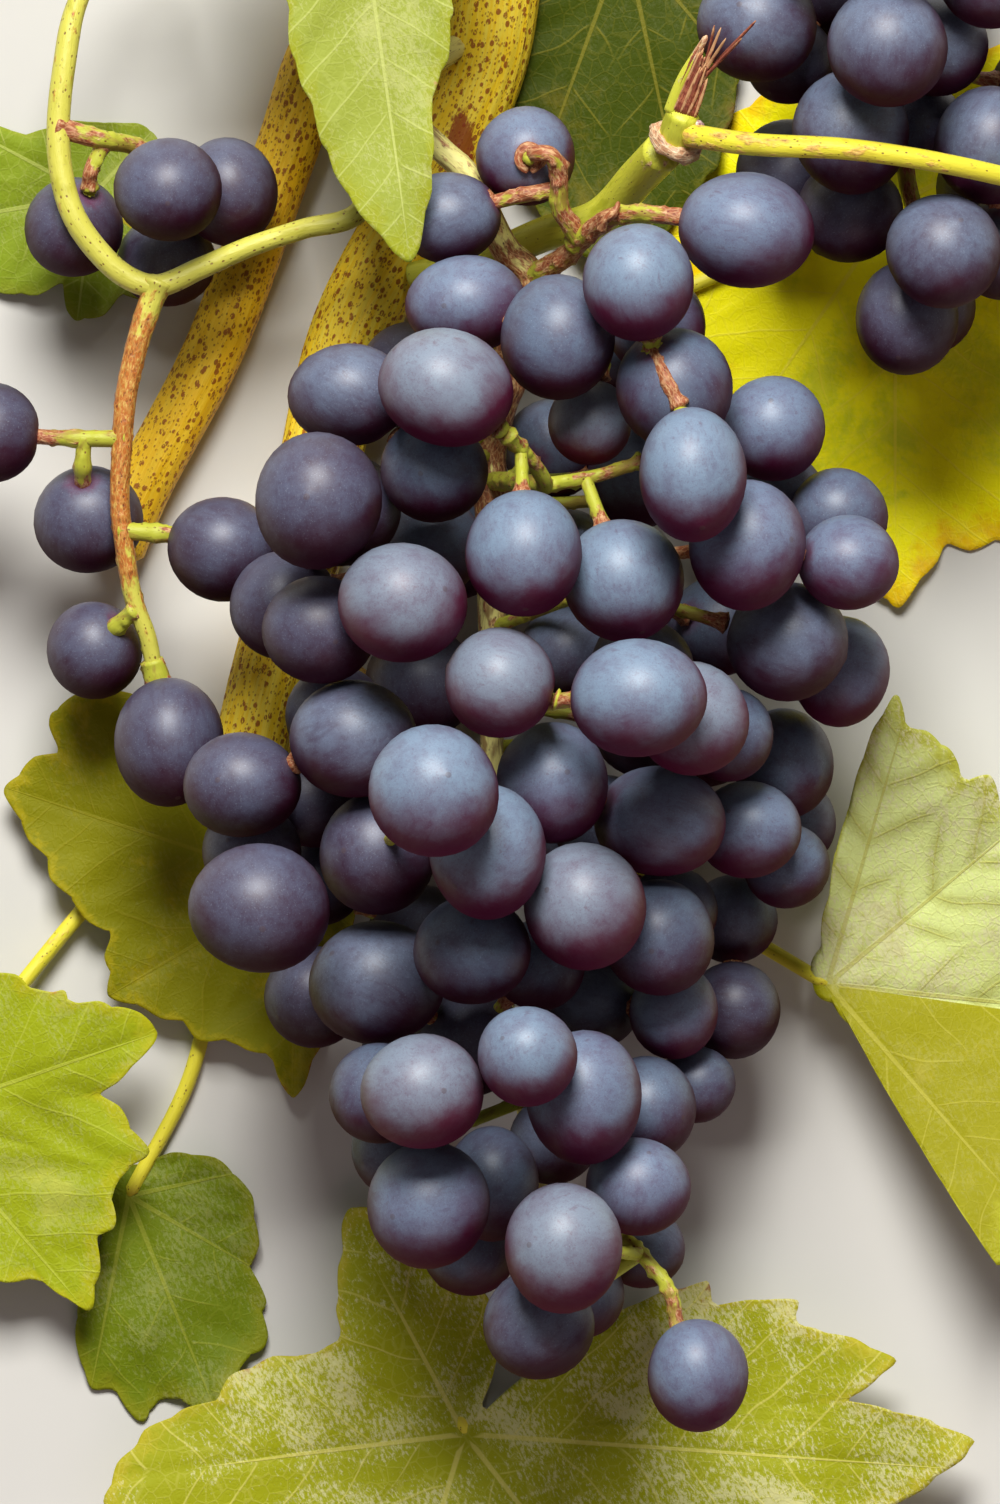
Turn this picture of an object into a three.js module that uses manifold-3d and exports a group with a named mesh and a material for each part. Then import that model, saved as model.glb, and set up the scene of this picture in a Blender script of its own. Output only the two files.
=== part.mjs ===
// A cut grapevine branch that lies on a level surface: two canes, two bunches of dark grapes and ten leaves.
// Millimetres. X runs to the right and Y towards the upper end of the branch, as it is looked down on, and Z
// is the height over the surface. Each lateral of a bunch is one solid with its stalks and berries, the
// largest berries are solids of their own, and each leaf is one with its stalk.
import * as THREE from "three";
import { mergeVertices } from "three/addons/utils/BufferGeometryUtils.js";
import Module from "manifold-3d";

const wasm = await Module();
wasm.setup();

// Driving dimensions.
const CLEARANCE = 0.35; // between two solids that touch on the plant
const BERRY_GAP = 0.6; // between two berries of a bunch
const BED = 7.5; // height of the leaves and stalks that a bunch lies on
const STALK_RADIUS = 1.1; // of the short stalk that holds one berry
const LEAF_THICKNESS = 1.4;
const TIER = 8; // from one tier of berries to the next above it
const HIDDEN_BERRY = { smallest: 16.5, largest: 19 };

// Colours and finishes.
const FINISH = {
  berry: { color: 0x35384f, roughness: 0.55, metalness: 0 },
  stalk: { color: 0x9c9a3e, roughness: 0.6, metalness: 0 },
  cane: { color: 0xc79a2a, roughness: 0.65, metalness: 0 },
  leaf: { color: 0x8f9f3a, roughness: 0.7, metalness: 0 },
};
const material = {};
for (const [name, finish] of Object.entries(FINISH)) {
  material[name] = new THREE.MeshStandardMaterial(finish);
}

// Seeded random numbers from 0 to 1, by a multiplicative congruence that keeps to whole numbers.
function seeded(seed) {
  const factor = 48271;
  const modulus = 2147483647;
  let state = seed;
  return () => {
    state = (state * factor) % modulus;
    return state / modulus;
  };
}

// Solids and meshes.
function solidOf(geometry) {
  const bare = geometry.clone();
  bare.deleteAttribute("normal");
  bare.deleteAttribute("uv");
  const merged = mergeVertices(bare, 1e-4);
  const vertProperties = merged.attributes.position.array;
  const triVerts = new Uint32Array(merged.index.array);
  return new wasm.Manifold(new wasm.Mesh({ numProp: 3, vertProperties, triVerts }));
}

function meshOf(name, solid, finish) {
  const { vertProperties, triVerts, numProp } = solid.getMesh();
  const corners = new Float32Array((vertProperties.length / numProp) * 3);
  for (let i = 0; i < corners.length / 3; i++) {
    corners.set(vertProperties.subarray(i * numProp, i * numProp + 3), i * 3);
  }
  const geometry = new THREE.BufferGeometry();
  geometry.setAttribute("position", new THREE.BufferAttribute(corners, 3));
  geometry.setIndex(new THREE.BufferAttribute(triVerts, 1));
  geometry.computeVertexNormals();
  const mesh = new THREE.Mesh(geometry, finish);
  mesh.name = name;
  return mesh;
}

function joined(solids) {
  return solids.reduce((whole, next) => whole.add(next));
}

// The largest body of a solid, with loose scraps dropped.
function largestBody(solid) {
  return solid.decompose().reduce((best, next) => (next.volume() > best.volume() ? next : best));
}

const vectors = (points) => points.map((point) => new THREE.Vector3(...point));

const curveThrough = (points) => new THREE.CatmullRomCurve3(points, false, "centripetal");

// A value at a share of the way along a row of evenly spaced ones.
function between(values, share) {
  const place = share * (values.length - 1);
  const first = Math.min(Math.floor(place), values.length - 2);
  return THREE.MathUtils.lerp(values[first], values[first + 1], place - first);
}

// A tapering limb along a smooth line: a cylinder whose rings are carried along the curve.
function limb({ points, radii, sides = 8, steps = 12 }, growth = 0) {
  const curve = curveThrough(vectors(points));
  const frames = curve.computeFrenetFrames(steps);
  const tube = new THREE.CylinderGeometry(1, 1, 1, sides, steps);
  const corners = tube.attributes.position;
  for (let i = 0; i < corners.count; i++) {
    const ring = Math.round((corners.getY(i) + 0.5) * steps);
    const share = ring / steps;
    const radius = between(radii, share) + growth;
    const corner = curve.getPointAt(share);
    corner.addScaledVector(frames.normals[ring], corners.getX(i) * radius);
    corner.addScaledVector(frames.binormals[ring], -corners.getZ(i) * radius);
    corners.setXYZ(i, corner.x, corner.y, corner.z);
  }
  return solidOf(tube);
}

// Berries. A berry is an ellipsoid with its centre, its half sizes across and along, and a turn about Z.
function berryFrom([x, y, tier, width, length, turn = 0], owner) {
  return {
    owner,
    home: new THREE.Vector2(x, y),
    centre: new THREE.Vector3(x, y, tier * TIER + BED),
    half: [width / 2, length / 2, (width + length) / 4],
    turn: THREE.MathUtils.degToRad(turn),
    push: new THREE.Vector3(),
  };
}

// How far a berry reaches from its centre in a direction.
function reach(berry, direction) {
  const across = direction.x * Math.cos(berry.turn) + direction.y * Math.sin(berry.turn);
  const along = direction.y * Math.cos(berry.turn) - direction.x * Math.sin(berry.turn);
  return 1 / Math.hypot(across / berry.half[0], along / berry.half[1], direction.z / berry.half[2]);
}

// How far two berries are short of their gap: above 0 they are too close.
function crowding(one, other, away) {
  const distance = away.copy(one.centre).sub(other.centre).length();
  away.divideScalar(distance);
  return reach(one, away) + reach(other, away) + BERRY_GAP - distance;
}

// Berries that press on each other, or on a stem of another lateral, part from it and stay over their places.
function settle(berries, stems) {
  const rounds = 900;
  const yielding = 0.3;
  const homing = 0.02;
  const nearest = 30;
  const pairs = [];
  berries.forEach((one, i) => {
    const close = berries.slice(i + 1).filter((other) => one.home.distanceTo(other.home) < nearest);
    pairs.push(...close.map((other) => [one, other]));
  });
  const touches = [];
  for (const berry of berries) {
    for (const { points, radius } of stems.filter(({ owner }) => !owner || owner !== berry.owner)) {
      const close = points.filter((point) => point.distanceTo(berry.centre) < nearest);
      touches.push(...close.map((point) => [berry, point, radius]));
    }
  }
  const away = new THREE.Vector3();
  for (let round = 0; round < rounds; round++) {
    for (const [berry, point, radius] of touches) {
      const distance = away.copy(berry.centre).sub(point).length();
      const short = radius + reach(berry, away.divideScalar(distance)) + BERRY_GAP - distance;
      if (short > 0) berry.push.addScaledVector(away, short * yielding);
    }
    for (const [one, other] of pairs) {
      const short = crowding(one, other, away);
      if (short <= 0) continue;
      one.push.addScaledVector(away, short * yielding);
      other.push.addScaledVector(away, -short * yielding);
    }
    for (const berry of berries) {
      berry.centre.add(berry.push);
      berry.push.set(0, 0, 0);
      berry.centre.x += (berry.home.x - berry.centre.x) * homing;
      berry.centre.y += (berry.home.y - berry.centre.y) * homing;
      berry.centre.z = Math.max(berry.centre.z, BED + berry.half[2]);
    }
  }
}

// A ball of berry size that is dropped in the shade of a bunch comes to rest at the lowest free height.
function fillUnder(bunch, others, stems, { seed, count, tries }) {
  const random = seeded(seed);
  const away = new THREE.Vector3();
  const climb = 1.5;
  const margin = 1.5;
  const low = (key) => Math.min(...bunch.map((berry) => berry.home[key]));
  const high = (key) => Math.max(...bunch.map((berry) => berry.home[key]));
  const [left, right, bottom, top] = [low("x"), high("x"), low("y"), high("y")];
  const added = [];
  for (let tried = 0; tried < tries && added.length < count; tried++) {
    const size = THREE.MathUtils.lerp(HIDDEN_BERRY.smallest, HIDDEN_BERRY.largest, random());
    const x = THREE.MathUtils.lerp(left, right, random());
    const y = THREE.MathUtils.lerp(bottom, top, random());
    const ball = berryFrom([x, y, 0, size, size]);
    ball.centre.z += size / 2;
    ball.isHidden = true;
    const ceiling = shelter(ball, bunch, margin);
    while (ball.centre.z < ceiling && !isFree(ball, [...bunch, ...others, ...added], stems, away)) {
      ball.centre.z += climb;
    }
    if (ball.centre.z < ceiling) added.push(ball);
  }
  return added;
}

// The height up to which a ball is covered on all sides by the berries above it, or 0 if it would show.
function shelter(ball, shade, margin) {
  const rimPoints = 8;
  let lowest = Infinity;
  for (let i = 0; i < rimPoints; i++) {
    const bearing = (2 * Math.PI * i) / rimPoints;
    const x = ball.home.x + Math.cos(bearing) * (ball.half[0] - margin);
    const y = ball.home.y + Math.sin(bearing) * (ball.half[0] - margin);
    let over = 0;
    for (const berry of shade) {
      const offset = Math.hypot(berry.centre.x - x, berry.centre.y - y);
      if (offset < berry.half[0] + margin / 2) over = Math.max(over, berry.centre.z);
    }
    lowest = Math.min(lowest, over);
  }
  return lowest;
}

function isFree(ball, berries, stems, away) {
  if (berries.some((berry) => crowding(ball, berry, away) > 0)) return false;
  return stems.every(({ points, radius }) =>
    points.every((point) => point.distanceTo(ball.centre) > radius + ball.half[0] + BERRY_GAP),
  );
}

// Points along a limb, close enough together to keep berries off it.
function spine({ points, radii, owner }, spacing = 4) {
  const curve = curveThrough(vectors(points));
  const steps = Math.ceil(curve.getLength() / spacing);
  return { points: curve.getSpacedPoints(steps), radius: Math.max(...radii), owner };
}

// A berry's solid. One that lies deep among the others has fewer faces.
function berrySolid(berry, growth = 0) {
  const depth = 50;
  const isDeep = berry.isHidden || (!berry.name && berry.centre.z < depth);
  const ball = isDeep ? new THREE.OctahedronGeometry(1, 1) : new THREE.IcosahedronGeometry(1, 1);
  ball.scale(...berry.half.map((half) => half + growth));
  ball.rotateZ(berry.turn);
  ball.translate(berry.centre.x, berry.centre.y, berry.centre.z);
  return solidOf(ball);
}

// The canes and the stems, each one tapering limb.
const CANE = {
  points: [
    [4, 158, 9.5],
    [0, 135, 8.6],
    [-3, 116, 8.2],
    [-11, 97, 8],
    [-25, 70, 8],
    [-33, 35, 7.8],
    [-40, 8, 7.6],
    [-42, -1, 7.4],
  ],
  radii: [8, 7.5, 7.2, 6.8, 6.4],
  sides: 10,
  steps: 14,
};
const SIDE_CANE = {
  points: [
    [-5, 141, 7.5],
    [-16, 136, 6.5],
    [-29, 120, 6],
    [-36, 101, 5.6],
    [-48, 68, 5.4],
    [-60, 45, 5.2],
    [-65, 33, 5.2],
  ],
  radii: [5.6, 4.8],
  sides: 8,
  steps: 11,
};
const PEDUNCLE = {
  points: [
    [-8, 118, 14],
    [-15, 113, 24],
    [-16.5, 108, 32],
    [-10, 101, 36],
    [-5, 96, 37],
    [1, 84, 34],
    [5, 79.5, 33],
    [1.5, 64, 31],
    [-2, 50, 30],
    [-1.3, 42, 30],
    [-1.3, 23, 29],
    [-1.3, 2, 28],
    [-1, -18, 26],
    [0.5, -38, 24],
    [3, -55, 22],
    [6.5, -70, 19],
    [8, -80, 17],
  ],
  radii: [2.2, 1.9, 2.2, 3.1, 3, 2.2, 1.8, 1.5, 1.3, 1.1],
  sides: 6,
  steps: 26,
};
const SIDE_SHOOT = {
  points: [
    [-14, 80, 15],
    [-2, 83, 21],
    [8, 87, 26],
    [16.5, 89.5, 32],
    [23, 96, 42],
    [27.5, 100.5, 52],
    [31, 104.5, 59],
    [34.5, 115.5, 64],
    [37, 120, 66],
  ],
  radii: [2.4, 2.8, 3, 3.2, 3.6, 2.8, 1],
  sides: 6,
  steps: 13,
};
const WING_ARM = {
  points: [
    [-16, 107, 33],
    [-19, 100, 35],
    [-24, 90, 34],
    [-33, 87.5, 33],
    [-42, 84.5, 33],
    [-50, 81, 33],
    [-57.5, 78, 33],
    [-62.5, 79.5, 33],
    [-67.5, 84, 33],
    [-71.5, 90, 33],
    [-73.5, 97, 32],
    [-74, 105, 31],
    [-73, 115, 30],
    [-71, 125, 28],
    [-66, 134, 25],
    [-60, 138, 22],
    [-56, 134, 21],
    [-58, 129, 22],
  ],
  radii: [1.8, 1.8, 1.7, 1.9, 2, 2, 1.9, 1.2, 0.8],
  sides: 5,
  steps: 24,
};
const WING_FALL = {
  points: [
    [-57.5, 78, 33],
    [-60, 71, 33],
    [-62.5, 60.5, 33],
    [-63.3, 52, 33],
    [-63.7, 42, 33],
    [-63, 35, 33],
    [-61.5, 26, 32],
    [-59, 19, 31],
    [-58, 14, 30],
  ],
  radii: [2.1, 1.8, 1.6, 1.4],
  sides: 5,
  steps: 8,
};
const SECOND_PEDUNCLE = {
  points: [
    [5, 142, 12],
    [15, 149, 16],
    [28, 156, 24],
    [45, 158, 32],
    [62, 148, 36],
    [68, 132, 33],
    [70, 115, 28],
    [68, 98, 26],
    [71, 86, 26],
  ],
  radii: [2.2, 2, 2, 1.8, 1.4],
  sides: 6,
  steps: 14,
};

// The laterals of the main bunch, from its top down: where each leaves the rachis, as a share of its
// length, and its berries, each as [x, y, height of centre, width, length, turn].
const MAIN_LATERALS = {
  top: {
    at: 0.32,
    berries: [[3, 98.5, 4, 16.5, 17], [-7.5, 89.5, 5, 17.5, 15.5]],
    limbs: [
      {
        points: [
          [5, 79.5, 33], [13, 85.3, 46], [10, 91, 50.5], [9.8, 96, 53], [8.4, 99.6, 55], [6.2, 99.9, 54.4],
          [5, 99.3, 50.5],
        ],
        radii: [2, 1.3],
      },
      { points: [[13, 85.3, 46], [19.2, 89.4, 56], [25, 89.6, 60.5], [34, 88.5, 62]], radii: [1.8, 1.3] },
      { points: [[9.5, 94, 50], [4, 93, 50.5], [-4, 91, 49]], radii: [1.4, 1.2] },
    ],
    singles: ["berry_brow"],
  },
  brow: { at: 0.35, berries: [[-5.5, 75, 6, 20.5, 16.5], [9.5, 69, 7, 19, 21]] },
  left_high: { at: 0.42, berries: [[-11, 47, 7, 18, 17.5], [-25, 59.5, 7, 20.5, 17]] },
  left_out: { at: 0.46, berries: [[-30, 41.5, 9, 21.5, 23], [-26, 40.5, 6, 19, 19]] },
  left_mid: {
    at: 0.52,
    berries: [[-16.5, 25, 9, 21.5, 20], [-30, 20, 7, 19, 18], [-36, 24.5, 5, 18.5, 18.5]],
  },
  right_high: {
    at: 0.37,
    berries: [
      [23, 78, 9, 18.5, 19.5], [26, 71, 6, 16.5, 16.5], [15, 55, 6, 14, 14.5],
      [29, 60.5, 8, 19.5, 20.5],
    ],
    limbs: [
      {
        points: [
          [4, 70, 32], [13, 70.5, 44], [22, 72, 58], [25, 68, 73], [27.3, 62.8, 78.5], [30, 57, 79.5],
        ],
        radii: [1.6, 1.2],
      },
    ],
    singles: ["berry_right"],
  },
  right_out: { at: 0.44, berries: [[45.5, 54, 6, 18, 17.5], [46.5, 42, 4, 16.5, 16.5]] },
  right_edge: {
    at: 0.48,
    berries: [[41.5, 34.5, 8, 19.5, 22], [57.5, 31.5, 7, 17, 16], [56.5, 39.5, 5, 16.5, 16]],
  },
  right_low: {
    at: 0.54,
    berries: [[48, 18.5, 6, 20.5, 20], [57, 13.5, 4, 16.5, 18.5], [36.5, 21, 3, 17, 17]],
  },
  core_high: {
    at: 0.475,
    berries: [[4, 33, 9, 19.5, 21], [20.5, 28.5, 8, 20.5, 20.5], [9, 51, 2, 17, 17], [23, 46, 3, 17, 17]],
    limbs: [
      {
        points: [[-1.5, 45.5, 30], [3, 45, 48], [7.5, 44.5, 63], [5.5, 48, 69], [1, 53, 76]],
        radii: [1.6, 1.2],
      },
      { points: [[7.5, 44.5, 62], [16, 46, 59], [24, 48.5, 56]], radii: [1.3, 1] },
    ],
    singles: ["berry_shoulder"],
  },
  core_mid: {
    at: 0.58,
    berries: [[0, 11.5, 9, 18.5, 18.5], [11.5, 16.5, 3, 17, 17]],
    limbs: [
      { points: [[-1.3, 8, 29], [3, 8, 52], [6.5, 8, 66], [10, 8.5, 79], [14, 9, 83]], radii: [1.6, 1.3] },
    ],
    singles: ["berry_core"],
  },
  right_mid: {
    at: 0.62,
    berries: [[32, 5.5, 8, 19, 19], [38, 3, 6, 15.5, 16], [47.5, -2, 3, 17, 18.5]],
  },
  right_deep: {
    at: 0.67,
    berries: [[41.5, -13, 4, 17.5, 16.5], [49, -12, 1, 15, 15], [48, -19, 3, 14.5, 14.5]],
  },
  left_low: {
    at: 0.6,
    berries: [
      [-24.5, 2.5, 7, 21.5, 19.5], [-27.5, 6, 4, 17, 17], [-43, -5.5, 6, 20, 17.5],
      [-31.5, -8, 3, 16, 16],
    ],
  },
  left_foot: {
    at: 0.72,
    berries: [[-41.5, -16.5, 4, 16.5, 16.5], [-31, -41, 3, 17, 17], [-30.5, -21.5, 2, 15.5, 15.5]],
    singles: ["berry_left_foot"],
  },
  front: { at: 0.65, berries: [[-20.5, -17, 6, 19.5, 20.5]], singles: ["berry_front"] },
  front_low: {
    at: 0.69,
    berries: [[-2, -16.5, 8, 19.5, 22.5], [9, -5.5, 7, 18.5, 20.5], [26.5, -11.5, 6, 22, 18.5]],
  },
  belly: {
    at: 0.77,
    berries: [[-4.5, -33, 7, 19.5, 18.5], [-20.5, -38.5, 5, 23, 20.5], [6.5, -35.5, 5, 15.5, 15.5]],
  },
  belly_right: {
    at: 0.74,
    berries: [[14, -25.5, 7, 20.5, 21.5], [26.5, -31, 5, 19, 19.5], [29, -26.5, 3, 15, 15]],
  },
  side_low: {
    at: 0.8,
    berries: [
      [39, -28.5, 2, 15, 15], [39, -43, 2, 16, 16.5], [29, -43.5, 4, 15, 16],
      [15.5, -42, 3, 16.5, 15.5],
    ],
  },
  waist: {
    at: 0.85,
    berries: [
      [4.5, -50.5, 9, 16.5, 17], [14, -57.5, 7, 19.5, 22.5], [24.5, -59.5, 4, 16.5, 18],
      [33, -55.5, 3, 13, 13],
    ],
  },
  tail_left: {
    at: 0.88,
    berries: [[-13, -56.5, 8, 20.5, 19.5], [-20, -57, 6, 17, 17], [-16.5, -66.5, 4, 16.5, 16.5]],
  },
  tail_mid: {
    at: 0.94,
    berries: [
      [-12, -75.5, 6, 20.5, 21.5], [-1.5, -72, 4, 15.5, 19.5], [-5, -83, 3, 16.5, 16.5],
      [9, -65, 2, 15, 15],
    ],
  },
  tip: {
    at: 0.985,
    berries: [
      [23, -72.5, 6, 17.5, 16.5],
      [24, -83, 3, 14, 14],
      [6.5, -95.5, 6, 18.5, 18.5],
      [13, -90.5, 4, 15.5, 15.5],
    ],
    limbs: [
      {
        points: [
          [8, -79, 18], [13, -79, 30], [17.5, -79.5, 41], [21, -81.5, 47], [25, -85.5, 50],
          [28, -89.5, 51.5], [30, -97, 51.5],
        ],
        radii: [1.4, 1.1],
      },
    ],
    singles: ["berry_tail", "berry_last"],
  },
};

// The largest berries of the main bunch, which are solids of their own.
const MAIN_SINGLES = {
  berry_brow: [41, 87, 7, 23, 19.5, -6],
  berry_shoulder: [-9, 60.5, 9, 22.5, 19.5, -16],
  berry_right: [32, 46, 9, 18, 22.5],
  berry_core: [23, 9, 10, 22.5, 20],
  berry_front: [-11, -6.5, 11, 21.5, 22],
  berry_left_foot: [-40, -26, 8, 23.5, 21.5],
  berry_tail: [10.5, -82.5, 7, 19.5, 22],
  berry_last: [33, -104, 6, 17, 19],
};

// The berries of the wing. The upper four hang together, and the others one by one from the falling arm.
const WING_LATERALS = {
  wing_top: {
    at: 0.5,
    berries: [
      [-55.5, 94, 4, 18, 17.5], [-45.5, 94, 2, 16.5, 18.5], [-71.5, 88, 2, 16.5, 17],
      [-56, 82.5, 1, 16.5, 15.5],
    ],
    limbs: [
      {
        points: [[-73.6, 104.5, 31], [-66.5, 102.5, 30], [-61, 101.5, 25], [-53, 97, 23.5], [-47, 95, 23]],
        radii: [1.8, 1.2],
      },
      { points: [[-66.5, 101.5, 29.5], [-68.5, 97.5, 29.5], [-68.8, 94, 28]], radii: [1.3, 1.2] },
    ],
    singles: [],
  },
};
const WING_SINGLES = {
  wing_berry_outer: [-85.5, 53.5, 3, 17, 17],
  wing_berry_upper: [-69, 39, 2, 18.5, 18],
  wing_berry_lower: [-68, 17, 2, 16, 16.5],
  wing_berry_end: [-55.5, 2, 3, 18.5, 21.5],
  wing_berry_inner: [-46.5, 34, 4, 18.5, 17.5],
};
const WING_STALKS = [
  { points: [[-63.7, 52.5, 33], [-70.5, 52.5, 32.5], [-80, 53, 31.5]], radii: [1.5, 1.2] },
  { points: [[-69.7, 52, 32.5], [-69.9, 48, 31.5], [-69.8, 44, 27]], radii: [1.3, 1.3] },
  { points: [[-62.8, 37, 33], [-57, 36.6, 33.5], [-51, 36, 33.5]], radii: [1.5, 1.4] },
  { points: [[-61.7, 23.3, 32], [-64.7, 20.6, 29], [-66.5, 18.5, 25]], radii: [1.4, 1.3] },
  { points: [[-58, 14.5, 30], [-57, 11, 29]], radii: [1.7, 1.9] },
];

// The laterals of the second bunch, which hangs beside the first.
const SECOND_LATERALS = {
  second_top: {
    at: 0.5,
    berries: [[43, 121.5, 6, 20, 20], [48.5, 116, 4, 15, 15], [53, 137, 6, 19, 19], [56, 128, 3, 18, 18]],
  },
  second_crown: {
    at: 0.58,
    berries: [
      [64.5, 117.5, 7, 20, 20.5], [73, 118, 6, 17.5, 17], [67, 138, 7, 19.5, 19], [60, 148, 6, 17, 18],
    ],
  },
  second_outer: {
    at: 0.7,
    berries: [
      [83, 102, 5, 19, 20], [84, 84, 4, 17, 17], [92, 114, 5, 18, 18], [82, 130, 6, 18.5, 19],
      [96, 99, 3, 18, 17],
    ],
  },
  second_mid: {
    at: 0.84,
    berries: [
      [58.5, 103.5, 5, 19.5, 21], [70.5, 105.5, 4, 14, 14], [58.5, 90.5, 4, 18, 17.5],
      [48.5, 97, 2, 18, 18],
    ],
  },
  second_tip: { at: 0.96, berries: [[74, 83.5, 6, 19.5, 19], [68, 72.5, 4, 17.5, 19]] },
};

// Leaves. The rim of each is a ring of [bearing, reach] round the end of its stalk, tips and notches in
// turn, with the bearing in degrees from +X, and its blade rises and falls by named heights.
const LEAVES = {
  leaf_front: {
    at: [-24.5, 150, 50],
    rim: [
      [-150, 34], [-128, 22], [-114, 27], [-100, 42], [-82, 70], [-72, 42], [-66, 38], [-50, 22],
      [-30, 30], [0, 20], [40, 32], [70, 18], [100, 30], [140, 20], [175, 34], [195, 24],
    ],
    pitch: 9,
    floor: 20,
    stalk: [[-1, 151, 13], [-13, 153, 34]],
  },
  leaf_dark: {
    at: [21, 137, 5],
    rim: [
      [-150, 42], [-130, 32], [-112, 46], [-92, 56], [-78, 47], [-60, 35], [-45, 27], [-20, 24],
      [0, 34], [30, 28], [62, 44], [90, 30], [125, 38], [150, 22], [175, 20], [195, 30],
    ],
    fold: 0,
    wave: 0.8,
    floor: 3.6,
    stalk: [[9, 138, 6], [16, 138, 5.5]],
  },
  leaf_yellow: {
    at: [66.5, 92, 1.4],
    rim: [
      [-115, 50], [-103, 54], [-90, 68], [-82, 58], [-70, 60], [-52, 50], [-25, 58], [0, 36], [28, 50],
      [60, 30], [95, 40], [130, 26], [160, 33], [188, 40], [200, 36], [214, 48], [225, 43], [236, 52],
    ],
    fold: 0,
    floor: 0,
    stalk: [[-20, 66, 2.2], [15, 72, 2], [45, 84, 2]],
  },
  leaf_folded: {
    at: [55, -39, 12],
    rim: [
      [-76, 3], [-62, 8], [-60.5, 30], [-59, 56], [-53, 50], [-40, 60], [-20, 48], [5, 70], [28, 50],
      [44, 42], [52, 44], [57, 41], [63, 45], [72, 45], [77, 50], [80, 43], [84, 27], [87, 22], [89, 15],
      [100, 6], [150, 2.5], [220, 2.5],
    ],
    fold: 0.35,
    heading: -8,
    floor: 0,
    stalk: [[-33, 20, 2.2], [-4, -2, 2.2], [25, -22, 2.4], [44, -32.5, 6]],
  },
  leaf_low: {
    at: [-6, -114.7, 3],
    rim: [
      [-107, 80], [-72, 50], [-40, 75], [-20, 55], [-1, 86.5], [5, 64.5], [9.5, 74], [18, 58.5],
      [21.5, 61], [27, 47.5], [32, 48], [38, 34], [41, 20], [48, 5], [60, 6], [67, 15], [79, 23],
      [98, 29], [116, 43.5], [125, 35.5],
      [140, 26.5], [151, 28], [164, 39.5], [172, 42.5], [179, 53.5], [190, 62], [216, 44],
    ],
    floor: 0.6,
    stalk: [[-38, 4, 4.2], [-29, -3, 2], [-15, -28, 1.8], [-11, -60, 1.5], [-9, -90, 1.3], [-7.5, -104, 1.3]],
  },
  leaf_lime: {
    at: [-98, -61, 12],
    rim: [
      [19, 43.5], [6.5, 31], [-10, 39.5], [-19, 34.5], [-29, 38], [-34, 36.5], [-49, 44], [-53, 35],
      [-75, 26], [-110, 45], [-145, 28], [180, 48], [150, 26], [115, 42], [80, 24], [57, 28], [42, 30],
      [39, 33], [35, 32.5], [27, 39.5],
    ],
    pitch: -4,
    floor: 4,
    stalk: [[-47, 3, 2.4], [-60, -14, 2.2], [-78, -36, 4]],
  },
  leaf_deep: {
    at: [-62.5, -74.7, 1.5],
    rim: [
      [-122, 8], [-112, 24], [-101, 33], [-95, 32.5], [-86, 38.5], [-81, 33.5], [-68, 39], [-57, 34],
      [-49, 34.5], [-30, 24], [-11, 22], [12, 18.5], [31, 13.5], [60, 6], [120, 4],
    ],
    floor: 0,
    stalk: [[-43, 1.5, 2.4], [-45.5, -12, 1.6], [-47, -28, 1.6], [-52, -54, 1.6]],
  },
  leaf_olive: {
    at: [-34, -22, 5.4],
    rim: [
      [136, 46], [145, 51], [151, 46], [157, 50], [162, 52], [173, 43.5], [184, 38.5], [196, 32.5],
      [211, 37], [219, 33.5], [230, 30.5], [237, 31], [251, 28.5], [262, 30], [268.5, 37], [275, 30],
      [284, 22], [320, 12], [0, 8], [60, 8], [100, 18], [120, 32],
    ],
    fold: 0.02,
    wave: 0.8,
    floor: 3.6,
    stalk: [[-41, -4, 6], [-38, -12, 5.6]],
  },
  leaf_wing: {
    at: [-68.5, 93.7, 2],
    rim: [
      [-64, 19.5], [-75, 17.5], [-97, 22], [-110, 15.5], [-128, 21.5], [-150, 24], [190, 36], [168, 26],
      [152, 26], [138, 14.8], [123, 13.6], [94, 12.2], [66, 13], [47, 15], [15, 12], [-30, 13],
    ],
    floor: 0,
    stalk: [[-48, 80, 2], [-58, 86, 2]],
  },
  leaf_edge: {
    at: [114, 88, 38],
    rim: [
      [-124, 24], [-108, 16], [-84, 36], [-62, 26], [-40, 42], [-20, 30], [0, 46], [22, 31], [44, 42],
      [68, 26], [90, 36], [112, 16], [130, 24], [180, 3],
    ],
    heading: 0,
    pitch: -22,
    floor: 0,
    stalk: [[30.5, 103, 58.5], [42, 101.2, 65], [58, 100.3, 66.5], [74, 98, 64], [92, 94, 56], [106, 90, 45]],
    stalkRadii: [2, 1.7, 1.5],
  },
};

// A rim as evenly many columns: one at each key, and one half-way to the next, where the edge swells.
function rimColumns(rim) {
  const full = 360;
  const swell = 0.55;
  const keys = rim.map(([bearing, far]) => [((bearing % full) + full) % full, far]);
  keys.sort((one, other) => one[0] - other[0]);
  return keys.flatMap(([bearing, far], i) => {
    const [next, nextFar] = keys[i + 1] ?? [keys[0][0] + full, keys[0][1]];
    const notch = Math.min(far, nextFar);
    const tip = Math.max(far, nextFar);
    return [[bearing, far], [(bearing + next) / 2, notch + (tip - notch) * swell]];
  });
}

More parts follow.
